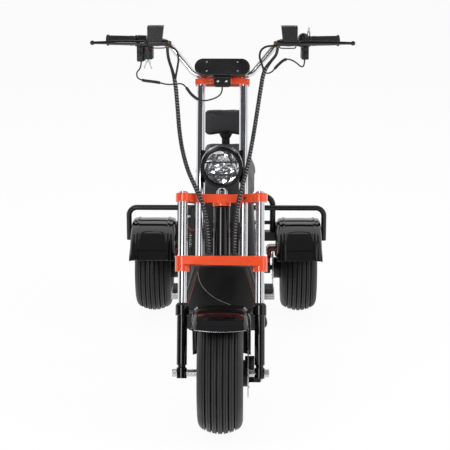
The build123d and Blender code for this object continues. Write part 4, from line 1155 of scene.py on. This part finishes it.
# painted highlight: a thin alloy wire across the face stands in for the light caught by a crease in the
# shell
# columns: across, down the face
crease_highlight_line = (
    (-0.0839, 0.0621), (-0.0812, 0.0978), (-0.0570, 0.1385), (-0.0216, 0.1693), (0.0213, 0.1897),
    (0.0531, 0.2042),
)
crease_highlight_places = [
    cowl_top_edge + across * x + cowl_down * along + cowl_face * 0.0004 for x, along in crease_highlight_line
]
crease_highlight_shape = wire("bead", crease_highlight_places, 0.0008, "NURBS")
new_piece("leg_shield_crease_highlight", chassis, crease_highlight_shape, cast_alloy)

# Foot deck: a flat moulded floor over the frame, with a ribbed mat on each side of the spine.
rounded_copy("deck_moulding", chassis, grained_plastic, "black_plastic", 0.0030, "foot_deck")
deck_low, deck_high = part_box("foot_deck")
mat_ribs = bmesh.new()
rib_step = 0.012
rib_total = int((deck_high.y - deck_low.y - 0.05) / rib_step)
for side, sign in sides:
    for rib in range(rib_total):
        place = Vector((sign * 0.073, deck_low.y + 0.030 + rib * rib_step, deck_high.z + 0.0006))
        add_block(mat_ribs, place, (0.072, 0.005, 0.0022))
new_piece("deck_mat_ribs", chassis, mat_ribs, black_rubber)

# Foot pedals: cast alloy steps on arms beside the deck, each under a ribbed rubber pad.
rounded_copy("pedal_castings", chassis, cast_alloy, "alloy", 0.0030, "foot_pedals")
rounded_copy("pedal_rubbers", chassis, black_rubber, "rubber", 0.0045, "pedal_pads")
pad_low, pad_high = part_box("pedal_pads")
pad_ribs = bmesh.new()
fin_shapes = bmesh.new()
pad_middle = (pad_low.y + pad_high.y) / 2
pad_depth = pad_high.y - pad_low.y
for side, sign in sides:
    for rib in range(7):
        x = sign * (0.1366 + 0.0068 * rib)
        add_block(pad_ribs, (x, pad_middle, pad_high.z + 0.0004), (0.0038, pad_depth - 0.010, 0.0030))
    for rib in range(3):
        z = 0.3205 + 0.0075 * rib
        add_block(fin_shapes, (sign * 0.1570, pad_middle, z), (0.0560, pad_depth + 0.006, 0.0034))
soften(new_piece("pedal_rubber_ribs", chassis, pad_ribs, black_rubber), 0.0008, 2)
soften(new_piece("pedal_casting_ribs", chassis, fin_shapes, cast_alloy), 0.0010, 2)

# Body box: moulded panels of grained plastic round the battery, rounded at the edges.
rounded_copy("body_panels", chassis, grained_plastic, "black_plastic", 0.0090, "body_box", segments=4)

# Seat and backrest: foam under grained charcoal leather, swollen by its filling.
seat_leather = finish(
    "charcoal_leather", (0.016, 0.016, 0.018), 0.50, amount=0.14, spread=0.08, scale=12,
    grain_scale=330, grain_depth=0.00022, pebbles=0.85,
)


def swell(piece, cap):
    """Blow a remeshed pad up like filled upholstery, each point moving no further than the cap."""
    rest = [vertex.co.copy() for vertex in piece.data.vertices]
    cloth = piece.modifiers.new("filling", "CLOTH")
    cloth.settings.use_pressure = True
    cloth.settings.uniform_pressure_force = 4.0
    cloth.settings.effector_weights.gravity = 0.0
    scene = bpy.context.scene
    for step in range(1, 21):
        scene.frame_set(step)
    evaluated = piece.evaluated_get(bpy.context.evaluated_depsgraph_get())
    blown = [vertex.co.copy() for vertex in evaluated.data.vertices]
    piece.modifiers.remove(cloth)
    scene.frame_set(1)
    for vertex, start, end in zip(piece.data.vertices, rest, blown):
        move = end - start
        if move.length > cap:
            move = move.normalized() * cap
        vertex.co = start + move


def padded_piece(name, node, shrink, voxel, cap, floor_gap):
    """An upholstered pad in the space of its CAD solid."""
    low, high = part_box(node)
    middle = (low + high) / 2
    shape = cad_shape(node)
    for vertex in shape.verts:
        for axis in range(3):
            room = high[axis] - low[axis]
            vertex.co[axis] = middle[axis] + (vertex.co[axis] - middle[axis]) * (room - 2 * shrink) / room
    piece = new_piece(name, chassis, shape, seat_leather)
    remesh = piece.modifiers.new("even_mesh", "REMESH")
    remesh.mode = "VOXEL"
    remesh.voxel_size = voxel
    remeshed = bpy.data.meshes.new_from_object(piece.evaluated_get(bpy.context.evaluated_depsgraph_get()))
    piece.modifiers.remove(remesh)
    piece.data = remeshed
    swell(piece, cap)
    for vertex in piece.data.vertices:
        vertex.co.z = max(vertex.co.z, low.z + floor_gap)
    relax = piece.modifiers.new("relaxed_cover", "SMOOTH")
    relax.factor = 0.5
    relax.iterations = 6
    smooth = piece.modifiers.new("fine_cover", "SUBSURF")
    smooth.levels = 1
    smooth.render_levels = 1
    piece.data.shade_smooth()
    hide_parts(node)
    return piece


padded_piece("seat_cushion", "seat", 0.006, 0.007, 0.008, 0.0003)
padded_piece("backrest_cushion", "backrest", 0.005, 0.005, 0.007, 0.0)

# Backrest post: a flat steel bar behind the seat, with a flared saddle under the pad.
rounded_copy("backrest_bar", chassis, satin_black, "satin_black", 0.0030, "backrest_post")
post_low, post_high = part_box("backrest_post")
pad_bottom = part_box("backrest")[0].z
saddle = bmesh.new()
saddle_verts = add_box(
    saddle, (-0.027, post_low.y - 0.004, pad_bottom - 0.013),
    (0.027, post_high.y + 0.001, pad_bottom + 0.006)
)
for vertex in saddle_verts:
    if vertex.co.z < pad_bottom:
        vertex.co.x *= 0.64
soften(new_piece("backrest_saddle", chassis, saddle, satin_black), 0.0025, 3)

# Rear frame, axle and arms: welded square steel, with the motor drum in the axle's middle.
rounded_copy("rear_frame_weldment", chassis, satin_black, "satin_black", 0.0035, "rear_frame")
rounded_copy("trailing_arm_tubes", chassis, satin_black, "satin_black", 0.0035, "trailing_arms")
rounded_copy("axle_housing", chassis, satin_black, "satin_black", 0.0030, "rear_axle")
rear_middle = Vector((0, rear_axles["left"].y, rear_axles["left"].z))
motor_fins = bmesh.new()
for fin in range(13):
    fin_x = -0.066 + 0.011 * fin
    ring = turned(
        ((-0.0015, 0.0745), (-0.0015, 0.0785), (0.0015, 0.0785), (0.0015, 0.0745)),
        rear_middle + across * fin_x, across, 64, closed=True,
    )
    add_shape(motor_fins, ring)
new_piece("motor_fins", chassis, motor_fins, satin_black)

# Rear shocks: coil springs over a damper between the axle and the cross beam.
shock_low, shock_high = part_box("rear_shocks")
shock_x = 0.124
spring_steel = finish(
    "spring_steel", (0.50, 0.50, 0.52), 0.28, metallic=1.0, amount=0.1, spread=0.06, grain_scale=600
)
spring_turns = 6
spring_points = 20
for side, sign in sides:
    foot = Vector((sign * shock_x, rear_middle.y, shock_low.z))
    room = shock_high.z - shock_low.z
    damper = turned(
        (
            (0.0, 0.0), (0.0, 0.0235), (0.008, 0.0240), (0.010, 0.0225), (0.010, 0.0120),
            (room * 0.55, 0.0120), (room * 0.55, 0.0070), (room - 0.010, 0.0070), (room - 0.010, 0.0225),
            (room - 0.008, 0.0240), (room, 0.0235), (room, 0.0),
        ),
        foot, (0, 0, 1), 40,
    )
    damper_piece = new_piece(f"shock_damper_{side}", chassis, damper, satin_black)
    coil = []
    for step in range(spring_turns * spring_points + 1):
        turn = 2 * pi * step / spring_points
        rise = 0.0135 + (room - 0.027) * step / (spring_turns * spring_points)
        coil.append(foot + Vector((0.0175 * cos(turn), 0.0175 * sin(turn), rise)))
    new_piece(f"shock_spring_{side}", chassis, wire("spring", coil, 0.0034), spring_steel)
    if sign > 0:
        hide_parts("rear_shocks")

# Rear calipers: red painted castings over the tops of the discs, with zinc bolts.
rounded_copy("red_calipers", chassis, red_gloss, "red_paint", 0.0110, "rear_calipers", segments=5)
red_bolts = bmesh.new()
for side, sign in sides:
    for back in (-0.018, 0.018):
        for z in (0.247, 0.264):
            place = (sign * 0.170, rear_middle.y + back, z)
            add_bolt(red_bolts, place, -across * sign, 0.0048, 0.005)
new_piece("red_caliper_bolts", chassis, red_bolts, bright_zinc)

# Rear fenders: pressed arches in gloss black with two swages and a raised bow in front.
# A plate on the inner side of each stands against the cross beam.
rear_fender_radius = 0.212
rear_fender_start = 23.5
rear_arc = 146.5
# columns: across, degrees above level ahead
bow_line = (
    (-0.056, 46), (-0.055, 50), (-0.052, 55), (-0.042, 60), (0.0, 61),
    (0.042, 60), (0.052, 55), (0.055, 50), (0.056, 46),
)
for side, sign in sides:
    axle = rear_axles[side]
    skin = arched(
        fender_profile(0.091, rear_fender_radius - 0.003, 0.030, 0.016, 0.0, 0.003),
        axle, rear_fender_start, rear_arc, 72, 18, 0.0,
    )
    fender = new_piece(f"rear_fender_arch_{side}", chassis, skin, gloss_black)
    thicken(fender, sheet_wall)
    bow = []
    for x, rise in bow_line:
        swing = radians(rise)
        bow.append(axle + across * x + Vector((0, -cos(swing), sin(swing))) * (rear_fender_radius - 0.0032))
    new_piece(
        f"rear_fender_bow_{side}", chassis, wire("bow", bow, 0.0030, "NURBS"), gloss_black
    )
    plate = bmesh.new()
    plate_x = sign * 0.2085
    add_block(plate, (plate_x, axle.y, 0.336), (0.0068, 0.060, 0.072))
    for back in (-0.016, 0.016):
        add_bolt(plate, (plate_x + sign * 0.0034, axle.y + back, 0.319), across * sign, 0.0055, 0.005)
    soften(new_piece(f"rear_fender_plate_{side}", chassis, plate, satin_black), 0.0012, 2)
    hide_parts(f"rear_fender_{side}")

# Grab rail and fender rail: bent steel tube in satin black.
dress(satin_black, "grab_rail", "fender_rail")

# Tail lamp: a ribbed red lens behind the cross beam.
red_lens = finish(
    "red_lens", (0.34, 0.008, 0.010), 0.10, coat=0.5, amount=0.12, spread=0.03, scale=60, grain_scale=300,
    grain_depth=0.00002,
)
rounded_copy("tail_lamp_lens", chassis, red_lens, "red_lens", 0.0040, "tail_lamp", segments=4)
tail_low, tail_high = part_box("tail_lamp")
lens_ribs = bmesh.new()
for rib in range(11):
    x = -0.060 + 0.012 * rib
    add_block(lens_ribs, (x, tail_high.y, (tail_low.z + tail_high.z) / 2), (0.0030, 0.0016, 0.022))
new_piece("tail_lamp_ribs", chassis, lens_ribs, red_lens)

# Cords: two braided harnesses from the brake masters down into the lower clamp,
# and three thin leads from the meter and the switches that join them, each with a plug sleeve.
cable_jacket = finish(
    "cable_jacket", (0.016, 0.016, 0.017), 0.50, amount=0.15, spread=0.08, scale=40, grain_scale=700,
    grain_depth=0.00004,
)
wrap_plastic = finish(
    "spiral_wrap", (0.016, 0.016, 0.017), 0.24, amount=0.15, spread=0.06, scale=40, grain_scale=500,
    grain_depth=0.00003,
)
harness_diameter = 0.014
lead_diameter = 0.005
thin_share = 0.72
harness_left_route = (
    (0.187, -0.0043, 1.1003), (0.186, 0.004, 1.079), (0.166, 0.004, 1.055), (0.146, 0.001, 1.028),
    (0.137, -0.003, 1.000), (0.132, -0.006, 0.968), (0.126, -0.009, 0.930), (0.118, -0.011, 0.875),
    (0.110, -0.011, 0.822), (0.099, -0.010, 0.756), (0.090, -0.009, 0.708), (0.080, -0.008, 0.662),
    (0.067, -0.006, 0.616), (0.055, 0.001, 0.570), (0.047, 0.018, 0.515), (0.044, 0.028, 0.460),
    (0.043, 0.031, 0.424), (0.043, 0.031, 0.388),
)
harness_right_route = (
    (-0.187, -0.0043, 1.1003), (-0.187, 0.004, 1.079), (-0.181, 0.003, 1.052), (-0.171, 0.0, 1.024),
    (-0.161, -0.003, 0.986), (-0.157, -0.006, 0.958), (-0.153, -0.009, 0.920), (-0.149, -0.011, 0.875),
    (-0.144, -0.011, 0.812), (-0.133, -0.010, 0.742), (-0.113, -0.008, 0.672), (-0.088, -0.007, 0.620),
    (-0.067, -0.003, 0.572), (-0.052, 0.013, 0.520), (-0.046, 0.026, 0.466), (-0.043, 0.031, 0.426),
    (-0.043, 0.031, 0.388),
)
meter_lead_route = (
    (0.0, -0.003, 0.962), (0.0, -0.003, 0.946), (-0.012, -0.011, 0.928), (-0.040, -0.020, 0.914),
    (-0.074, -0.022, 0.910), (-0.104, -0.020, 0.932), (-0.122, -0.013, 0.960), (-0.1372, -0.0045, 0.9745),
    (-0.1517, -0.0041, 0.973),
)
switch_lead_left_route = (
    (0.281, 0.0628, 1.0737), (0.281, 0.0704, 1.0538), (0.270, 0.066, 1.046), (0.248, 0.053, 1.064),
    (0.217, 0.038, 1.072), (0.188, 0.020, 1.044), (0.163, 0.0061, 1.010), (0.1487, 0.0014, 1.0115),
)
switch_lead_right_route = (
    (-0.281, 0.0656, 1.0662), (-0.281, 0.0733, 1.0463), (-0.297, 0.062, 1.026), (-0.291, 0.034, 1.000),
    (-0.270, 0.020, 0.989), (-0.243, 0.010, 0.984), (-0.214, 0.0, 0.978), (-0.186, -0.006, 0.969),
    (-0.1663, -0.0049, 0.971),
)


def route_curve(name, route, radius, thin):
    """A smooth cord along its route, with the route's points as its control points."""
    data = bpy.data.curves.new(name, "CURVE")
    data.dimensions = "3D"
    data.bevel_depth = radius
    data.bevel_resolution = 4
    data.resolution_u = 24
    data.use_fill_caps = True
    spline = data.splines.new("NURBS")
    spline.points.add(len(route) - 1)
    for step, (point, stop) in enumerate(zip(spline.points, route)):
        point.co = (*on_fork(*stop), 1)
        point.radius = thin_share if step < thin else 1.0
    spline.order_u = 3
    spline.use_endpoint_u = True
    cord = bpy.data.objects.new(name, data)
    bpy.context.scene.collection.objects.link(cord)
    return cord


def cord_line(cord, resolution):
    """Places along a cord's own smooth line."""
    thin = cord.data.copy()
    thin.bevel_depth = 0
    thin.resolution_u = resolution
    holder = bpy.data.objects.new("cord_line", thin)
    mesh = bpy.data.meshes.new_from_object(holder)
    places = [vertex.co.copy() for vertex in mesh.vertices]
    bpy.data.objects.remove(holder)
    bpy.data.curves.remove(thin)
    bpy.data.meshes.remove(mesh)
    return places


def spiral(places, radius, pitch, hand):
    """A helix wound round a line of places, left or right handed."""
    turns = []
    travelled = 0.0
    heading = (places[1] - places[0]).normalized()
    outward = heading.orthogonal().normalized()
    for before, here in zip(places, places[1:]):
        step = here - before
        if step.length < 1e-7:
            continue
        heading = step.normalized()
        outward = (outward - heading * outward.dot(heading)).normalized()
        travelled += step.length
        swing = 2 * pi * travelled / pitch * hand
        turns.append(here + (outward * cos(swing) + heading.cross(outward) * sin(swing)) * radius)
    return turns


def part_of(places, start, end):
    """The stretch of a line between two shares of its length."""
    total = sum((here - before).length for before, here in zip(places, places[1:]))
    kept = []
    travelled = 0.0
    for before, here in zip(places, places[1:]):
        travelled += (here - before).length
        if start <= travelled / total <= end:
            kept.append(here)
    return kept


wrap_pitch = 0.0100
wrap_wire = 0.0020
# painted glints: a light grey thread wound against the dark wrap shows as light dots between its turns
glint_strand = 0.0016
painted_glint_thread = finish(
    "painted_glint_thread", (0.30, 0.30, 0.31), 0.35, amount=0.15, spread=0.06, scale=40, grain_scale=500,
    grain_depth=0.00003,
)
hose_radius = 0.0036
sleeve_radius = 0.0050
# second hoses from the unions into the harnesses, along the fork as across, back and up
hose_left_route = (
    (0.183, -0.004, 1.103), (0.160, -0.006, 1.106), (0.132, -0.008, 1.094), (0.124, -0.008, 1.068),
    (0.132, -0.008, 1.044), (0.140, -0.006, 1.022), (0.138, -0.004, 1.002), (0.134, -0.006, 0.978),
)
hose_right_route = (
    (-0.183, -0.004, 1.102), (-0.168, -0.006, 1.098), (-0.152, -0.007, 1.082), (-0.148, -0.007, 1.058),
    (-0.152, -0.006, 1.030), (-0.157, -0.005, 1.002), (-0.160, -0.004, 0.980), (-0.158, -0.006, 0.962),
)
# columns: name, CAD node, route, diameter, length, thin points at the start, second hose, sleeve's ends
cords = (
    (
        "harness_cable_left", "harness_left", harness_left_route, harness_diameter, 0.7413, 3,
        hose_left_route, None
    ),
    (
        "harness_cable_right", "harness_right", harness_right_route, harness_diameter, 0.7385, 4,
        hose_right_route, None
    ),
    ("meter_wire", "meter_lead", meter_lead_route, lead_diameter, 0.2101, 0, None, (0.52, 0.83)),
    (
        "switch_wire_left", "switch_lead_left", switch_lead_left_route, lead_diameter, 0.1989, 0, None,
        (0.48, 0.82)
    ),
    (
        "switch_wire_right", "switch_lead_right", switch_lead_right_route, lead_diameter, 0.2213, 0, None,
        (0.47, 0.80)
    ),
)
for name, node, route, diameter, length, thin, hose, sleeve in cords:
    wrapped = diameter == harness_diameter
    cord = route_curve(name, route, diameter / 2, thin)
    cord.data.materials.append(cable_jacket)
    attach(cord, steering)
    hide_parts(node)
    line = cord_line(cord, 40)
    if wrapped:
        wrap_top = on_fork(*route[thin]).z
        covered = [place for place in line if place.z < wrap_top]
        # the inner light grey strand paints the wrap's glints
        for hand, label, strand, strand_look in (
            (1, "outer", wrap_wire, wrap_plastic), (-1, "inner", glint_strand, painted_glint_thread)
        ):
            coil = spiral(covered, diameter / 2 - 0.0010, wrap_pitch, hand)
            braid = wire("wrap", coil, strand, resolution=2)
            new_piece(f"{name}_{label}_wrap", steering, braid, strand_look)
        loop = wire("loop", [on_fork(*stop) for stop in hose], hose_radius, "NURBS")
        new_piece(f"{name}_hose", steering, loop, cable_jacket)
    if sleeve:
        stretch = part_of(line, *sleeve)
        rise = [min(1.0, 0.6 + 0.08 * min(step, len(stretch) - 1 - step)) for step in range(len(stretch))]
        plug = wire("plug", stretch, sleeve_radius, taper=rise)
        new_piece(f"{name}_sleeve", steering, plug, black_rubber)

# Body loom: a sleeved wire down the right front corner of the body box, out of it under the seat
# and back into it above the ledge, with a plug, a coiled tail and a red tie.
# A pressed steel strip at the corner of the box stands behind it.
loom_sleeve = wire(
    "sleeve",
    [(-0.100, -0.022, 0.612), (-0.113, -0.040, 0.612), (-0.1145, -0.044, 0.590), (-0.116, -0.044, 0.524)],
    0.0085, "NURBS",
)
new_piece("body_loom_sleeve", chassis, loom_sleeve, cable_jacket)
loom_strip = bmesh.new()
add_box(loom_strip, (-0.1335, -0.0395, 0.405), (-0.098, -0.0365, 0.572))
soften(new_piece("body_loom_strip", chassis, loom_strip, satin_black), 0.0010, 2)
loom_tail = [
    Vector(place) for place in (
        (-0.116, -0.044, 0.535), (-0.1205, -0.045, 0.515), (-0.1220, -0.045, 0.490),
        (-0.1230, -0.045, 0.460), (-0.1215, -0.043, 0.434), (-0.112, -0.028, 0.418),
    )
]
new_piece("body_loom_tail", chassis, wire("tail", loom_tail, 0.0036, "NURBS"), cable_jacket)
tail_line = [loom_tail[1].lerp(loom_tail[3], step / 120) for step in range(121)]
tail_coil = wire("tail_coil", spiral(tail_line, 0.0042, 0.0085, 1), 0.0014, resolution=2)
new_piece("body_loom_coil", chassis, tail_coil, bright_zinc)
loom_plug = wire(
    "plug",
    [
        (-0.112, -0.040, 0.616), (-0.124, -0.045, 0.612), (-0.1275, -0.046, 0.594),
        (-0.1265, -0.046, 0.556), (-0.118, -0.044, 0.530)
    ],
    0.0062, "NURBS",
)
new_piece("body_loom_plug", chassis, loom_plug, black_rubber)
clip_profile = ((-0.004, 0.0060), (-0.004, 0.0074), (0.004, 0.0074), (0.004, 0.0060))
loom_clip = turned(clip_profile, Vector((-0.1273, -0.046, 0.580)), Vector((0, 0, 1)), 28, closed=True)
new_piece("body_loom_clip", chassis, loom_clip, bright_zinc)
tie_red = finish("tie_red", (0.56, 0.012, 0.030), 0.35, amount=0.08, spread=0.05, grain_depth=0.00001)
red_tie = wire(
    "tie",
    [
        (-0.132, -0.038, 0.556), (-0.1335, -0.050, 0.548), (-0.129, -0.0545, 0.537),
        (-0.119, -0.0545, 0.529), (-0.109, -0.0530, 0.528), (-0.105, -0.036, 0.530),
    ],
    0.0015, "NURBS",
)
new_piece("body_loom_tie", chassis, red_tie, tie_red)

# Stage: a pale studio floor, a white surround, soft boxes and the camera ahead of the nose.


def background_rays(tree):
    """A socket that is 1 where a ray comes from the camera, a reflection or glass."""
    light_path = tree.nodes.new("ShaderNodeLightPath")
    share = light_path.outputs["Is Camera Ray"]
    for ray in ("Is Glossy Ray", "Is Transmission Ray"):
        either = tree.nodes.new("ShaderNodeMath")
        either.operation = "MAXIMUM"
        tree.links.new(share, either.inputs[0])
        tree.links.new(light_path.outputs[ray], either.inputs[1])
        share = either.outputs[0]
    return share


stage_floor = bmesh.new()
bmesh.ops.create_grid(stage_floor, x_segments=1, y_segments=1, size=60)
floor_mesh = bpy.data.meshes.new("studio_floor")
stage_floor.to_mesh(floor_mesh)
stage_floor.free()
studio_floor = bpy.data.objects.new("studio_floor", floor_mesh)
bpy.context.scene.collection.objects.link(studio_floor)
pale_floor = bpy.data.materials.new("pale_floor")
pale_floor.use_nodes = True
floor_tree = pale_floor.node_tree
floor_shader = floor_tree.nodes["Principled BSDF"]
floor_shader.inputs["Base Color"].default_value = (0.90, 0.90, 0.90, 1)
floor_shader.inputs["Roughness"].default_value = 0.9
floor_shader.inputs["Specular IOR Level"].default_value = 0.0
floor_glow = floor_tree.nodes.new("ShaderNodeEmission")
floor_blend = floor_tree.nodes.new("ShaderNodeMixShader")
floor_share = floor_tree.nodes.new("ShaderNodeMath")
floor_share.operation = "MULTIPLY"
floor_share.inputs[1].default_value = 0.94
floor_output = floor_tree.nodes["Material Output"]
floor_tree.links.new(background_rays(floor_tree), floor_share.inputs[0])
floor_tree.links.new(floor_share.outputs[0], floor_blend.inputs[0])
floor_tree.links.new(floor_shader.outputs[0], floor_blend.inputs[1])
floor_tree.links.new(floor_glow.outputs[0], floor_blend.inputs[2])
floor_tree.links.new(floor_blend.outputs[0], floor_output.inputs["Surface"])
floor_mesh.materials.append(pale_floor)

scene = bpy.context.scene
scene.view_settings.view_transform = "Standard"
world = bpy.data.worlds.new("studio")
scene.world = world
world.use_nodes = True
world_tree = world.node_tree
fill = world_tree.nodes["Background"]
fill.inputs["Color"].default_value = (1, 1, 1, 1)
fill.inputs["Strength"].default_value = 0.40
white = world_tree.nodes.new("ShaderNodeBackground")
white.inputs["Color"].default_value = (1, 1, 1, 1)
white.inputs["Strength"].default_value = 1.0
seen_mix = world_tree.nodes.new("ShaderNodeMixShader")
world_output = world_tree.nodes["World Output"]
world_tree.links.new(background_rays(world_tree), seen_mix.inputs[0])
world_tree.links.new(fill.outputs[0], seen_mix.inputs[1])
world_tree.links.new(white.outputs[0], seen_mix.inputs[2])
world_tree.links.new(seen_mix.outputs[0], world_output.inputs["Surface"])

# columns: name, place, aim, width, height, power
soft_boxes = (
    ("key_box", (-2.6, -2.6, 3.4), (0, -0.2, 0.6), 1.6, 2.2, 70),
    ("side_box", (3.0, -1.8, 2.4), (0, -0.2, 0.6), 1.2, 2.4, 60),
    ("top_box", (0.0, 2.4, 4.4), (0, 0.2, 0.4), 3.6, 3.6, 90),
    ("left_strip", (-1.5, -6.1, 3.2), (0, -0.3, 0.6), 0.36, 1.8, 18),
    ("right_strip", (3.3, -5.4, 3.0), (0, -0.3, 0.6), 0.5, 1.8, 14),
)
for name, place, aim, width, height, power in soft_boxes:
    lamp = bpy.data.lights.new(name, "AREA")
    lamp.shape = "RECTANGLE"
    lamp.size = width
    lamp.size_y = height
    lamp.energy = power
    holder = bpy.data.objects.new(name, lamp)
    holder.location = place
    holder.rotation_euler = (Vector(aim) - Vector(place)).to_track_quat("-Z", "Y").to_euler()
    holder.visible_glossy = False
    scene.collection.objects.link(holder)


def glowing(name, colour, brightness):
    """A black sheet that only glows."""
    paper = bpy.data.materials.new(name)
    paper.use_nodes = True
    shader = paper.node_tree.nodes["Principled BSDF"]
    shader.inputs["Base Color"].default_value = (0.0, 0.0, 0.0, 1)
    shader.inputs["Roughness"].default_value = 1.0
    shader.inputs["Specular IOR Level"].default_value = 0.0
    shader.inputs["Emission Color"].default_value = (*colour, 1)
    shader.inputs["Emission Strength"].default_value = brightness
    return paper


def hang_sheet(name, shape, *papers):
    """Hang a sheet in the studio that is seen only in reflections."""
    mesh = bpy.data.meshes.new(name)
    shape.to_mesh(mesh)
    shape.free()
    for paper in papers:
        mesh.materials.append(paper)
    holder = bpy.data.objects.new(name, mesh)
    scene.collection.objects.link(holder)
    holder.visible_camera = False
    holder.visible_shadow = False
    holder.visible_diffuse = False


# a dark tent with open windows gives chrome and gloss paint their contrast
tent_cloths = [
    glowing(cloth, (glow, glow, glow * 1.06), 1.0)
    for cloth, glow in (("tent_black", 0.085), ("tent_grey", 0.300), ("tent_dim", 0.200))
]
tent_radius = 12.0
tent_low = -1.5
tent_high = 66.0
tent_shoulder = 38.0
# columns: from and to in degrees round from straight ahead
tent_windows = ((44, 76), (92, 150), (-150, -88))
grey_bands = ((36, 44), (76, 92), (-88, -76))
tent = bmesh.new()
bmesh.ops.create_uvsphere(tent, u_segments=180, v_segments=90, radius=tent_radius)
open_faces = []
for face in tent.faces:
    middle = face.calc_center_median()
    rise = atan2(middle.z, hypot(middle.x, middle.y)) * 180 / pi
    round_from_front = atan2(middle.x, -middle.y) * 180 / pi
    in_window = any(low <= round_from_front <= high for low, high in tent_windows)
    if rise < tent_low or (in_window and rise <= tent_high):
        open_faces.append(face)
    elif rise > tent_shoulder:
        face.material_index = 2
    elif any(low <= round_from_front <= high for low, high in grey_bands):
        face.material_index = 1
bmesh.ops.delete(tent, geom=open_faces, context="FACES")
hang_sheet("dark_tent", tent, *tent_cloths)

# bright cards: a tall one ahead on the left, pale ones over and behind the rear
# columns: name, corner, one side, the other side, brightness
cards = (
    ("left_card", (-2.60, -6.2, 1.0), (1.90, 0, 0), (0, 0, 3.1), 6.0),
    ("rear_card", (-1.6, 0.85, 2.10), (3.2, 0, 0), (0, 2.5, 0), 1.3),
    ("back_card", (-1.6, 3.0, 0.4), (3.2, 0, 0), (0, 0, 0.95), 1.0),
)
for name, corner, one_side, other_side, brightness in cards:
    card = bmesh.new()
    first = Vector(corner)
    one = Vector(one_side)
    other = Vector(other_side)
    corners = (first, first + one, first + one + other, first + other)
    card.faces.new([card.verts.new(place) for place in corners])
    hang_sheet(name, card, glowing(name, (1.0, 1.0, 1.0), brightness))

camera_data = bpy.data.cameras.new("photo_camera")
camera_data.sensor_width = 36
camera_data.lens = 112
photo_camera = bpy.data.objects.new("photo_camera", camera_data)
photo_camera.location = (0.083, front_axle.y - 4.355, 1.858)
photo_camera.rotation_euler = (radians(90 - 14.8), 0, radians(0.9))
scene.collection.objects.link(photo_camera)
scene.camera = photo_camera
